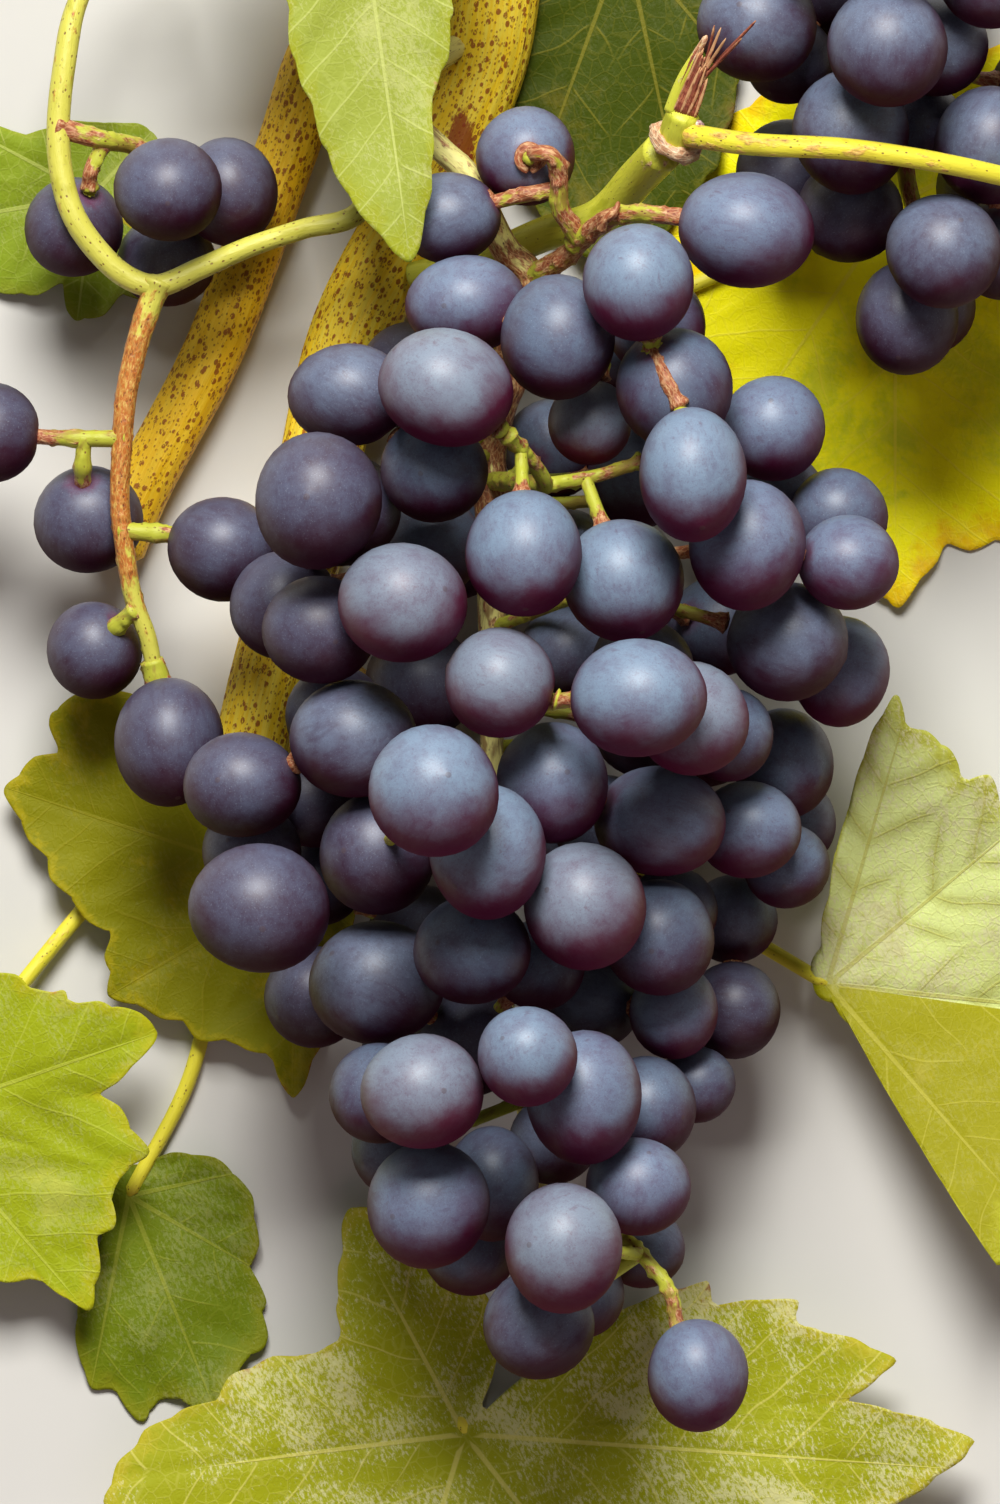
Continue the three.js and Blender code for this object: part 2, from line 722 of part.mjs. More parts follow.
// The height of a blade over the end of its stalk: folded up beside its midrib, pitched along it, waved.
function bladeHeight(leaf, x, y) {
  const { heading = -90, fold = 0.06, pitch = 0, wave = 1.2 } = leaf;
  const midrib = THREE.MathUtils.degToRad(heading);
  const along = x * Math.cos(midrib) + y * Math.sin(midrib);
  const aside = y * Math.cos(midrib) - x * Math.sin(midrib);
  const slope = Math.tan(THREE.MathUtils.degToRad(pitch));
  const swing = Math.sin(along / 9) * Math.cos(aside / 7);
  return Math.abs(aside) * fold + along * slope + swing * wave;
}

// A blade is a thin disc whose columns are turned and stretched to its rim.
function leafBlade(leaf) {
  const columns = rimColumns(leaf.rim);
  const half = LEAF_THICKNESS / 2;
  const profile = [[0, -half], [0.55, -half], [1, -half], [1, half], [0.55, half], [0, half]];
  const disc = new THREE.LatheGeometry(profile.map((pair) => new THREE.Vector2(...pair)), columns.length);
  const corners = disc.attributes.position;
  for (let i = 0; i < corners.count; i++) {
    const share = Math.hypot(corners.getX(i), corners.getZ(i));
    const [degrees, far] = columns[Math.floor(i / profile.length) % columns.length];
    const bearing = THREE.MathUtils.degToRad(degrees);
    const x = share * far * Math.cos(bearing);
    const y = share * far * Math.sin(bearing);
    const height = Math.max(leaf.at[2] + bladeHeight(leaf, x, y), leaf.floor + half);
    corners.setXYZ(i, leaf.at[0] + x, leaf.at[1] + y, height + corners.getY(i));
  }
  return solidOf(disc);
}

// The stalk of a leaf, up to the middle of its blade.
function stalkOf({ stalk, at, stalkRadii = [1.5, 1.2] }) {
  return { points: [...stalk, at], radii: stalkRadii, sides: 3, steps: stalk.length + 1 };
}

function leafSolid(leaf) {
  return leafBlade(leaf).add(limb(stalkOf(leaf)));
}

// The places on the rachis where a lateral may leave it, from a little before its share to a little after.
function rootsAlong(rachis, at) {
  const reachAlong = 0.08;
  const places = 17;
  const shares = Array.from({ length: places }, (_, i) => at + reachAlong * ((2 * i) / (places - 1) - 1));
  return shares.map((share) => rachis.getPointAt(THREE.MathUtils.clamp(share, 0, 1)));
}

function lateralsOf(table, rachis) {
  return Object.entries(table).map(([name, { at, berries, limbs = [], singles = [] }]) => ({
    name,
    roots: rootsAlong(rachis, at),
    berries: berries.map((row) => berryFrom(row, name)),
    limbs: limbs.map((shape) => ({ sides: 5, steps: shape.points.length + 1, ...shape, owner: name })),
    singles,
  }));
}

// The single berries of a bunch, each of them held by the lateral that names it.
function singlesOf(table, laterals) {
  return Object.entries(table).map(([name, row]) => {
    const holder = laterals.find(({ singles }) => singles.includes(name));
    return { name, ...berryFrom(row, holder?.name) };
  });
}

// Each filling berry goes to the lateral that has a berry nearest to it.
function shareOut(filling, laterals) {
  for (const ball of filling) {
    const gapTo = ({ berries }) => Math.min(...berries.map(({ centre }) => centre.distanceTo(ball.centre)));
    const nearest = laterals.reduce((best, next) => (gapTo(next) < gapTo(best) ? next : best));
    ball.owner = nearest.name;
    nearest.berries.push(ball);
  }
}

// Whether a straight stalk would come too close to a berry that it doesn't hold, or to another stem.
function isBlocked(from, to, berries, stems) {
  const line = new THREE.Line3(from, to);
  const foot = new THREE.Vector3();
  const around = STALK_RADIUS + CLEARANCE;
  const isNear = (point, far) => line.closestPointToPoint(point, true, foot).distanceTo(point) < far + around;
  if (berries.some(({ centre, half }) => isNear(centre, Math.max(...half)))) return true;
  return stems.some(({ points, radius }) => points.some((point) => isNear(point, radius)));
}

// The next stalk: the shortest way, straight or else with one bend, from what is reached to a waiting berry.
function nextStalk(reached, waiting, berries, stems, rachis) {
  const ways = waiting.flatMap((berry) =>
    reached.map(({ point, pull }) => ({ point, berry, cost: point.distanceTo(berry.centre) * pull })),
  );
  ways.sort((one, other) => one.cost - other.cost);
  for (const { point, berry } of ways) {
    const passed = berries.filter((other) => other !== berry);
    if (!isBlocked(point, berry.centre, passed, stems)) return { berry, points: [point, berry.centre] };
  }
  const random = seeded(3);
  const tries = 40;
  const detour = 1.2;
  for (const { point, berry } of ways) {
    const passed = berries.filter((other) => other !== berry);
    const swing = point.distanceTo(berry.centre) * detour;
    for (let tried = 0; tried < tries; tried++) {
      const bend = point.clone().add(berry.centre).divideScalar(2);
      bend.x += (random() - 0.5) * swing;
      bend.y += (random() - 0.5) * swing;
      bend.z += (random() - 0.5) * swing;
      if (bend.z < BED || isBlocked(point, bend, passed, stems)) continue;
      if (!isBlocked(bend, berry.centre, passed, [...stems, ...rachis])) {
        return { berry, points: [point, bend, berry.centre] };
      }
    }
  }
  return null;
}

// The stalks of a lateral grow from its root like a tree, first to its own berries, then to the single
// berries that it holds. A berry that no free way leads to is dropped.
function growStalks(lateral, singles, berries, rachis, stems) {
  const steps = 10;
  const firstReached = 2;
  const pullOfBerry = 1.5;
  const onLimbs = lateral.limbs.flatMap(({ points }) =>
    curveThrough(vectors(points)).getSpacedPoints(steps).slice(firstReached),
  );
  const reached = onLimbs.map((point) => ({ point, pull: 1 }));
  let isRooted = reached.length > 0;
  if (!isRooted) reached.push(...lateral.roots.map((point) => ({ point, pull: 1 })));
  const held = singles.filter(({ owner }) => owner === lateral.name);
  let waiting = [...lateral.berries];
  while (waiting.length || held.length) {
    const targets = waiting.length ? waiting : held.splice(0, 1);
    const crossed = isRooted ? [...stems, ...rachis] : stems;
    const stalk = nextStalk(reached, targets, [...berries, ...singles], crossed, rachis);
    if (!stalk) {
      lateral.berries = lateral.berries.filter((berry) => !waiting.includes(berry));
      waiting = [];
      continue;
    }
    if (!isRooted) reached.splice(0, reached.length);
    isRooted = true;
    const { berry, points } = stalk;
    points.slice(1).forEach((point, i) => lateral.limbs.push(straight(points[i], point, lateral.name)));
    reached.push(...points.slice(0, -1).map((point) => ({ point, pull: 1 })));
    reached.push({ point: berry.centre, pull: pullOfBerry });
    waiting = waiting.filter((other) => other !== berry);
  }
}

const straight = (from, to, owner) => ({
  points: [from.toArray(), to.toArray()],
  radii: [STALK_RADIUS, STALK_RADIUS],
  sides: 3,
  steps: 1,
  owner,
});

const boxOf = (solid) => {
  const { min, max } = solid.boundingBox();
  return new THREE.Box3(new THREE.Vector3(...min), new THREE.Vector3(...max));
};

// A solid cut clear of those of the others whose boxes meet its own.
function clearOf(solid, others) {
  const near = others.filter((other) => boxOf(other).intersectsBox(boxOf(solid)));
  return largestBody(near.reduce((left, next) => left.subtract(next), solid));
}

// A bunch: every lateral as one solid, its berries joined by their stalks and cut clear of the rest.
function addBunch(laterals, singles, rachis, stems) {
  const made = [...rachis, ...stems].map((stem) => limb(stem, CLEARANCE));
  made.push(...singles.map((berry) => berrySolid(berry, CLEARANCE)));
  const axis = rachis.map((stem) => spine(stem));
  const along = [...stems, ...laterals.flatMap(({ limbs }) => limbs)].map((stem) => spine(stem, 1));
  for (const lateral of laterals) {
    const others = laterals.filter((other) => other !== lateral).flatMap(({ berries }) => berries);
    const elsewhere = along.filter(({ owner }) => owner !== lateral.name);
    growStalks(lateral, singles, others, axis, elsewhere);
    const stalks = clearOf(joined(lateral.limbs.map((shape) => limb(shape))), made);
    const solid = joined([stalks, ...lateral.berries.map((berry) => berrySolid(berry))]);
    group.add(meshOf(lateral.name, largestBody(solid), material.berry));
    made.push(...lateral.limbs.map((shape) => limb(shape, CLEARANCE)));
    along.push(...lateral.limbs.map((stem) => spine(stem, 1)));
  }
  singles.forEach((berry) => group.add(meshOf(berry.name, berrySolid(berry), material.berry)));
}

// The assembly: the berries settle round the stems, more fill the space under them, and each piece is added.
const group = new THREE.Group();
const mainLaterals = lateralsOf(MAIN_LATERALS, curveThrough(vectors(PEDUNCLE.points)));
const secondLaterals = lateralsOf(SECOND_LATERALS, curveThrough(vectors(SECOND_PEDUNCLE.points)));
const wingLaterals = lateralsOf(WING_LATERALS, curveThrough(vectors(WING_ARM.points)));
const mainSingles = singlesOf(MAIN_SINGLES, mainLaterals);
const wingSingles = singlesOf(WING_SINGLES, wingLaterals);
const mainBerries = [...mainLaterals.flatMap(({ berries }) => berries), ...mainSingles];
const secondBerries = secondLaterals.flatMap(({ berries }) => berries);
const wingBerries = [...wingLaterals.flatMap(({ berries }) => berries), ...wingSingles];
const leafStalks = Object.values(LEAVES).map((leaf) => stalkOf(leaf));
const stems = [CANE, SIDE_CANE, PEDUNCLE, SIDE_SHOOT, WING_ARM, WING_FALL, SECOND_PEDUNCLE, ...leafStalks];
const armsOfLaterals = [...mainLaterals, ...secondLaterals, ...wingLaterals].flatMap(({ limbs }) => limbs);
const spines = [...stems, ...armsOfLaterals].map((stem) => spine(stem));
settle([...mainBerries, ...secondBerries, ...wingBerries], spines);
const mainFilling = fillUnder(mainBerries, secondBerries, spines, { seed: 7, count: 20, tries: 4000 });
const aroundSecond = [...mainBerries, ...mainFilling];
const secondFilling = fillUnder(secondBerries, aroundSecond, spines, { seed: 11, count: 6, tries: 2000 });
shareOut(mainFilling, mainLaterals);
shareOut(secondFilling, secondLaterals);

addBunch(mainLaterals, mainSingles, [PEDUNCLE], [SIDE_SHOOT, CANE, WING_ARM, ...leafStalks]);
addBunch(secondLaterals, [], [SECOND_PEDUNCLE], [SIDE_SHOOT, ...leafStalks]);
addBunch(wingLaterals, wingSingles, [WING_ARM], [WING_FALL, ...leafStalks]);

group.add(meshOf("cane", limb(CANE), material.cane));
group.add(meshOf("side_cane", limb(SIDE_CANE).subtract(limb(CANE, CLEARANCE)), material.cane));
const grown = [CANE, SIDE_CANE].map((shape) => limb(shape, CLEARANCE));
group.add(meshOf("peduncle", clearOf(limb(PEDUNCLE), grown), material.stalk));
group.add(meshOf("side_shoot", clearOf(limb(SIDE_SHOOT), grown), material.stalk));
group.add(meshOf("second_peduncle", clearOf(limb(SECOND_PEDUNCLE), grown), material.stalk));
const wingStalks = WING_STALKS.map((shape) => limb({ sides: 4, steps: 2, ...shape }));
const aroundFall = [limb(WING_ARM, CLEARANCE), ...wingSingles.map((berry) => berrySolid(berry, CLEARANCE))];
const fall = clearOf(joined([limb(WING_FALL), ...wingStalks]), aroundFall);
group.add(meshOf("wing_arm", clearOf(limb(WING_ARM), [limb(PEDUNCLE, CLEARANCE)]), material.stalk));
group.add(meshOf("wing_fall", fall, material.stalk));
const leavesAround = [...grown, limb(SIDE_SHOOT, CLEARANCE)];
for (const [name, leaf] of Object.entries(LEAVES)) {
  group.add(meshOf(name, clearOf(leafSolid(leaf), leavesAround), material.leaf));
}

// The branch lies on the surface, with the origin under the middle of its box.
const box = new THREE.Box3().setFromObject(group);
const middle = box.getCenter(new THREE.Vector3());
group.position.set(-middle.x, -middle.y, -box.min.z);

export default group;
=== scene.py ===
"""The looks of a cut grapevine branch that lies on a pale floor, seen from straight above.

The branch has two canes, two bunches of dark grapes with their stalks, a side arm of single grapes and ten
leaves. Every place and size is in millimetres in the branch's own drawing frame, in which X runs to the
right, Y towards the upper end and Z up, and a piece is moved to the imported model's frame, in metres, when
its mesh is made. The berries settle by the same rule as the model's solids, so they lie where those lie.
"""

import logging
from dataclasses import dataclass, field, replace
from enum import Enum
from typing import ClassVar, Mapping, Optional, Sequence, Union

import bpy
import numpy as np
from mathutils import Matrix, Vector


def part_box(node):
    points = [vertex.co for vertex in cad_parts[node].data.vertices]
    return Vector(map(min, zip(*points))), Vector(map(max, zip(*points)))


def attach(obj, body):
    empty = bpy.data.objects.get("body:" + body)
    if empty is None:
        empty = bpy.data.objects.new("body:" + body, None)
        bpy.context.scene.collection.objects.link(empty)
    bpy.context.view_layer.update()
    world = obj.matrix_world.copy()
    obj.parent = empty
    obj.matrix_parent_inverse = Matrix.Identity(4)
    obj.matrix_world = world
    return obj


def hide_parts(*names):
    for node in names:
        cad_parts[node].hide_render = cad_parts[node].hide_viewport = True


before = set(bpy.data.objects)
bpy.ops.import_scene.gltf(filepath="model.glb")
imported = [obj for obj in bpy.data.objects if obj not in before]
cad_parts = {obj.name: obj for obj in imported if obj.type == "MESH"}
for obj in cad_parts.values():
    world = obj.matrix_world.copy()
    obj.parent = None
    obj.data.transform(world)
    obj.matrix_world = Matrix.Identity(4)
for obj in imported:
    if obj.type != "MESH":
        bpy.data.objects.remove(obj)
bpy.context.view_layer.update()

Array = np.ndarray
Rows = tuple[tuple[float, ...], ...]
Sizes = tuple[float, ...]
Points = Union[Rows, Array, Sequence[Array]]
Point = tuple[float, float, float]
Colour = tuple[int, int, int]
logger = logging.getLogger("grapevine")

MM = 0.001
FULL_TURN = 2 * np.pi
BODY = "root"
PHOTO_HEIGHT = 1504
PIXELS_PER_MM = 6.0
CLEARANCE = 0.35
BERRY_GAP = 0.6
BED = 7.5
TIER = 8.0
STALK_RADIUS = 1.1
VEIN_SPACING = 9.0
VEIN_LEAN = 0.8
# The way towards the key light, by which light and shade are painted on the berries.
KEY_LIGHT_SIDE: Point = (-0.1, 0.62, 0.78)


class Slot(Enum):
    """The record's material slots."""

    BERRIES = "berries"
    LEAVES = "leaves"
    CANES = "canes"
    STALKS = "stalks"


@dataclass(frozen=True)
class Limb:
    """A stem.

    Attributes:
        points: the points that its middle line passes.
        radii: its radii, evenly spread from its foot to its tip.
        owner: the lateral that it belongs to, or nothing.
    """

    points: Points
    radii: Sizes
    owner: str = ""

    def rooted(self, depth: float = 1.4) -> "Limb":
        """The limb with its foot carried straight on into what holds it, by a depth."""
        first, second = (np.array(point, float) for point in self.points[:2])
        return replace(self, points=(first - depth * unit(second - first), *self.points))


@dataclass(frozen=True)
class Lateral:
    """A side branch of a bunch.

    Attributes:
        at: the share of the rachis at which it leaves.
        berries: a row for each berry, with x, y, tier, width, length and, where it has one, turn.
        limbs: its thicker arms, which show.
        singles: the names of the large berries that it holds.
    """

    at: float
    berries: Rows
    limbs: tuple[Limb, ...] = ()
    singles: tuple[str, ...] = ()


@dataclass(frozen=True)
class LeafShape:
    """The shape of a leaf.

    Attributes:
        at: the end of its stalk, where its veins meet.
        rim: its tips and notches, each as a bearing in degrees from X and a reach.
        stalk: the points of its stalk before that end.
        floor: the height under which it doesn't sag.
        heading: the bearing of its midrib.
        fold: how steeply its halves rise from the midrib.
        pitch: the slope along the midrib, in degrees.
        wave: the height of its waves.
        stalk_radii: the radii of its stalk.
    """

    at: Point
    rim: Rows
    stalk: Rows
    floor: float
    heading: float = -90.0
    fold: float = 0.06
    pitch: float = 0.0
    wave: float = 1.2
    stalk_radii: Sizes = (1.5, 1.2)

    def stem(self, lift: float = 0.0) -> Limb:
        """Its stalk, up to the middle of its blade, which may be lifted."""
        return Limb((*self.stalk, (*self.at[:2], self.at[2] + lift)), self.stalk_radii)


CANE = Limb(
    (
        (4, 158, 9.5), (0, 135, 8.6), (-3, 116, 8.2), (-11, 97, 8), (-25, 70, 8), (-33, 35, 7.8),
        (-40, 8, 7.6), (-42, -1, 7.4),
    ),
    (8, 7.5, 7.2, 6.8, 6.4),
)
SIDE_CANE = Limb(
    (
        (-5, 141, 7.5), (-16, 136, 6.5), (-29, 120, 6), (-36, 101, 5.6), (-48, 68, 5.4), (-60, 45, 5.2),
        (-65, 33, 5.2),
    ),
    (5.6, 4.8),
)
PEDUNCLE = Limb(
    (
        (-8, 118, 14), (-15, 113, 24), (-16.5, 108, 32), (-10, 101, 36), (-5, 96, 37), (1, 84, 34),
        (5, 79.5, 33), (1.5, 64, 31), (-2, 50, 30), (-1.3, 42, 30), (-1.3, 23, 29), (-1.3, 2, 28),
        (-1, -18, 26), (0.5, -38, 24), (3, -55, 22), (6.5, -70, 19), (8, -80, 17),
    ),
    (2.2, 1.9, 2.2, 3.1, 3, 2.2, 1.8, 1.5, 1.3, 1.1),
)
SIDE_SHOOT = Limb(
    (
        (-14, 80, 15), (-2, 83, 21), (8, 87, 26), (16.5, 89.5, 32), (23, 96, 42), (27.5, 100.5, 52),
        (31, 104.5, 59), (34.5, 115.5, 64), (37, 120, 66),
    ),
    (2.4, 2.8, 3, 3.2, 3.6, 2.8, 1),
)
WING_ARM = Limb(
    (
        (-16, 107, 33), (-19, 100, 35), (-24, 90, 34), (-33, 87.5, 33), (-42, 84.5, 33), (-50, 81, 33),
        (-57.5, 78, 33), (-62.5, 79.5, 33), (-67.5, 84, 33), (-71.5, 90, 33), (-73.5, 97, 32),
        (-74, 105, 31), (-73, 115, 30), (-71, 125, 28), (-66, 134, 25), (-60, 138, 22), (-56, 134, 21),
        (-58, 129, 22),
    ),
    (1.8, 1.8, 1.7, 1.9, 2, 2, 1.9, 1.2, 0.8),
)
WING_FALL = Limb(
    (
        (-57.5, 78, 33), (-60, 71, 33), (-62.5, 60.5, 33), (-63.3, 52, 33), (-63.7, 42, 33), (-63, 35, 33),
        (-61.5, 26, 32), (-59, 19, 31), (-58, 14, 30),
    ),
    (2.1, 1.8, 1.6, 1.4),
)
SECOND_PEDUNCLE = Limb(
    (
        (5, 142, 12), (15, 149, 16), (28, 156, 24), (45, 158, 32), (62, 148, 36), (68, 132, 33),
        (70, 115, 28), (68, 98, 26), (71, 86, 26),
    ),
    (2.2, 2, 2, 1.8, 1.4),
)
MAIN_LATERALS = {
    "top": Lateral(
        0.32, ((3, 98.5, 4, 16.5, 17), (-7.5, 89.5, 5, 17.5, 15.5)),
        (
            Limb(
                (
                    (5, 79.5, 33), (13, 85.3, 46), (10, 91, 50.5), (9.8, 96, 53), (8.4, 99.6, 55),
                    (6.2, 99.9, 54.4), (5, 99.3, 50.5),
                ),
                (2, 1.3),
            ),
            Limb(((13, 85.3, 46), (19.2, 89.4, 56), (25, 89.6, 60.5), (34, 88.5, 62)), (1.8, 1.3)),
            Limb(((9.5, 94, 50), (4, 93, 50.5), (-4, 91, 49)), (1.4, 1.2)),
        ),
        ("berry_brow",),
    ),
    "brow": Lateral(0.35, ((-5.5, 75, 6, 20.5, 16.5), (9.5, 69, 7, 19, 21))),
    "left_high": Lateral(0.42, ((-11, 47, 7, 18, 17.5), (-25, 59.5, 7, 20.5, 17))),
    "left_out": Lateral(0.46, ((-30, 41.5, 9, 21.5, 23), (-26, 40.5, 6, 19, 19))),
    "left_mid": Lateral(0.52, ((-16.5, 25, 9, 21.5, 20), (-30, 20, 7, 19, 18), (-36, 24.5, 5, 18.5, 18.5))),
    "right_high": Lateral(
        0.37,
        (
            (23, 78, 9, 18.5, 19.5), (26, 71, 6, 16.5, 16.5), (15, 55, 6, 14, 14.5),
            (29, 60.5, 8, 19.5, 20.5),
        ),
        (
            Limb(
                (
                    (4, 70, 32), (13, 70.5, 44), (22, 72, 58), (25, 68, 73), (27.3, 62.8, 78.5),
                    (30, 57, 79.5),
                ),
                (1.6, 1.2),
            ),
        ),
        ("berry_right",),
    ),
    "right_out": Lateral(0.44, ((45.5, 54, 6, 18, 17.5), (46.5, 42, 4, 16.5, 16.5))),
    "right_edge": Lateral(
        0.48, ((41.5, 34.5, 8, 19.5, 22), (57.5, 31.5, 7, 17, 16), (56.5, 39.5, 5, 16.5, 16)),
    ),
    "right_low": Lateral(0.54, ((48, 18.5, 6, 20.5, 20), (57, 13.5, 4, 16.5, 18.5), (36.5, 21, 3, 17, 17))),
    "core_high": Lateral(
        0.475, ((4, 33, 9, 19.5, 21), (20.5, 28.5, 8, 20.5, 20.5), (9, 51, 2, 17, 17), (23, 46, 3, 17, 17)),
        (
            Limb(((-1.5, 45.5, 30), (3, 45, 48), (7.5, 44.5, 63), (5.5, 48, 69), (1, 53, 76)), (1.6, 1.2)),
            Limb(((7.5, 44.5, 62), (16, 46, 59), (24, 48.5, 56)), (1.3, 1)),
        ),
        ("berry_shoulder",),
    ),
    "core_mid": Lateral(
        0.58, ((0, 11.5, 9, 18.5, 18.5), (11.5, 16.5, 3, 17, 17)),
        (Limb(((-1.3, 8, 29), (3, 8, 52), (6.5, 8, 66), (10, 8.5, 79), (14, 9, 83)), (1.6, 1.3)),),
        ("berry_core",),
    ),
    "right_mid": Lateral(0.62, ((32, 5.5, 8, 19, 19), (38, 3, 6, 15.5, 16), (47.5, -2, 3, 17, 18.5))),
    "right_deep": Lateral(
        0.67, ((41.5, -13, 4, 17.5, 16.5), (49, -12, 1, 15, 15), (48, -19, 3, 14.5, 14.5)),
    ),
    "left_low": Lateral(
        0.6,
        (
            (-24.5, 2.5, 7, 21.5, 19.5), (-27.5, 6, 4, 17, 17), (-43, -5.5, 6, 20, 17.5),
            (-31.5, -8, 3, 16, 16),
        ),
    ),
    "left_foot": Lateral(
        0.72, ((-41.5, -16.5, 4, 16.5, 16.5), (-31, -41, 3, 17, 17), (-30.5, -21.5, 2, 15.5, 15.5)),
        singles=("berry_left_foot",),
    ),
    "front": Lateral(0.65, ((-20.5, -17, 6, 19.5, 20.5),), singles=("berry_front",)),
    "front_low": Lateral(
        0.69, ((-2, -16.5, 8, 19.5, 22.5), (9, -5.5, 7, 18.5, 20.5), (26.5, -11.5, 6, 22, 18.5)),
    ),
    "belly": Lateral(
        0.77, ((-4.5, -33, 7, 19.5, 18.5), (-20.5, -38.5, 5, 23, 20.5), (6.5, -35.5, 5, 15.5, 15.5)),
    ),
    "belly_right": Lateral(
        0.74, ((14, -25.5, 7, 20.5, 21.5), (26.5, -31, 5, 19, 19.5), (29, -26.5, 3, 15, 15)),
    ),
    "side_low": Lateral(
        0.8,
        (
            (39, -28.5, 2, 15, 15), (39, -43, 2, 16, 16.5), (29, -43.5, 4, 15, 16),
            (15.5, -42, 3, 16.5, 15.5),
        ),
    ),
    "waist": Lateral(
        0.85,
        (
            (4.5, -50.5, 9, 16.5, 17), (14, -57.5, 7, 19.5, 22.5), (24.5, -59.5, 4, 16.5, 18),
            (33, -55.5, 3, 13, 13),
        ),
    ),
    "tail_left": Lateral(
        0.88, ((-13, -56.5, 8, 20.5, 19.5), (-20, -57, 6, 17, 17), (-16.5, -66.5, 4, 16.5, 16.5)),
    ),
    "tail_mid": Lateral(
        0.94,
        (
            (-12, -75.5, 6, 20.5, 21.5), (-1.5, -72, 4, 15.5, 19.5), (-5, -83, 3, 16.5, 16.5),
            (9, -65, 2, 15, 15),
        ),
    ),
    "tip": Lateral(
        0.985,
        (
            (23, -72.5, 6, 17.5, 16.5), (24, -83, 3, 14, 14), (6.5, -95.5, 6, 18.5, 18.5),
            (13, -90.5, 4, 15.5, 15.5),
        ),
        (
            Limb(
                (
                    (8, -79, 18), (13, -79, 30), (17.5, -79.5, 41), (21, -81.5, 47), (25, -85.5, 50),
                    (28, -89.5, 51.5), (30, -97, 51.5),
                ),
                (1.4, 1.1),
            ),
        ),
        ("berry_tail", "berry_last"),
    ),
}
WING_LATERALS = {
    "wing_top": Lateral(
        0.5,
        (
            (-55.5, 94, 4, 18, 17.5), (-45.5, 94, 2, 16.5, 18.5), (-71.5, 88, 2, 16.5, 17),
            (-56, 82.5, 1, 16.5, 15.5),
        ),
        (
            Limb(
                ((-73.6, 104.5, 31), (-66.5, 102.5, 30), (-61, 101.5, 25), (-53, 97, 23.5), (-47, 95, 23)),
                (1.8, 1.2),
            ),
            Limb(((-66.5, 101.5, 29.5), (-68.5, 97.5, 29.5), (-68.8, 94, 28)), (1.3, 1.2)),
        ),
    ),
}
SECOND_LATERALS = {
    "second_top": Lateral(
        0.5, ((43, 121.5, 6, 20, 20), (48.5, 116, 4, 15, 15), (53, 137, 6, 19, 19), (56, 128, 3, 18, 18)),
    ),
    "second_crown": Lateral(
        0.58,
        ((64.5, 117.5, 7, 20, 20.5), (73, 118, 6, 17.5, 17), (67, 138, 7, 19.5, 19), (60, 148, 6, 17, 18)),
    ),
    "second_outer": Lateral(
        0.7,
        (
            (83, 102, 5, 19, 20), (84, 84, 4, 17, 17), (92, 114, 5, 18, 18), (82, 130, 6, 18.5, 19),
            (96, 99, 3, 18, 17),
        ),
    ),
    "second_mid": Lateral(
        0.84,
        (
            (58.5, 103.5, 5, 19.5, 21), (70.5, 105.5, 4, 14, 14), (58.5, 90.5, 4, 18, 17.5),
            (48.5, 97, 2, 18, 18),
        ),
    ),
    "second_tip": Lateral(0.96, ((74, 83.5, 6, 19.5, 19), (68, 72.5, 4, 17.5, 19))),
}
MAIN_SINGLES = {
    "berry_brow": (41, 87, 7, 23, 19.5, -6),
    "berry_shoulder": (-9, 60.5, 9, 22.5, 19.5, -16),
    "berry_right": (32, 46, 9, 18, 22.5),
    "berry_core": (23, 9, 10, 22.5, 20),
    "berry_front": (-11, -6.5, 11, 21.5, 22),
    "berry_left_foot": (-40, -26, 8, 23.5, 21.5),
    "berry_tail": (10.5, -82.5, 7, 19.5, 22),
    "berry_last": (33, -104, 6, 17, 19),
}
WING_SINGLES = {
    "wing_berry_outer": (-85.5, 53.5, 3, 17, 17),
    "wing_berry_upper": (-69, 39, 2, 18.5, 18),
    "wing_berry_lower": (-68, 17, 2, 16, 16.5),
    "wing_berry_end": (-55.5, 2, 3, 18.5, 21.5),
    "wing_berry_inner": (-46.5, 34, 4, 18.5, 17.5),
}
WING_STALKS = (
    Limb(((-63.7, 52.5, 33), (-70.5, 52.5, 32.5), (-80, 53, 31.5)), (1.5, 1.2)),
    Limb(((-69.7, 52, 32.5), (-69.9, 48, 31.5), (-69.8, 44, 27)), (1.3, 1.3)),
    Limb(((-62.8, 37, 33), (-57, 36.6, 33.5), (-51, 36, 33.5)), (1.5, 1.4)),
    Limb(((-61.7, 23.3, 32), (-64.7, 20.6, 29), (-66.5, 18.5, 25)), (1.4, 1.3)),
    Limb(((-58, 14.5, 30), (-57, 11, 29)), (1.7, 1.9)),
)
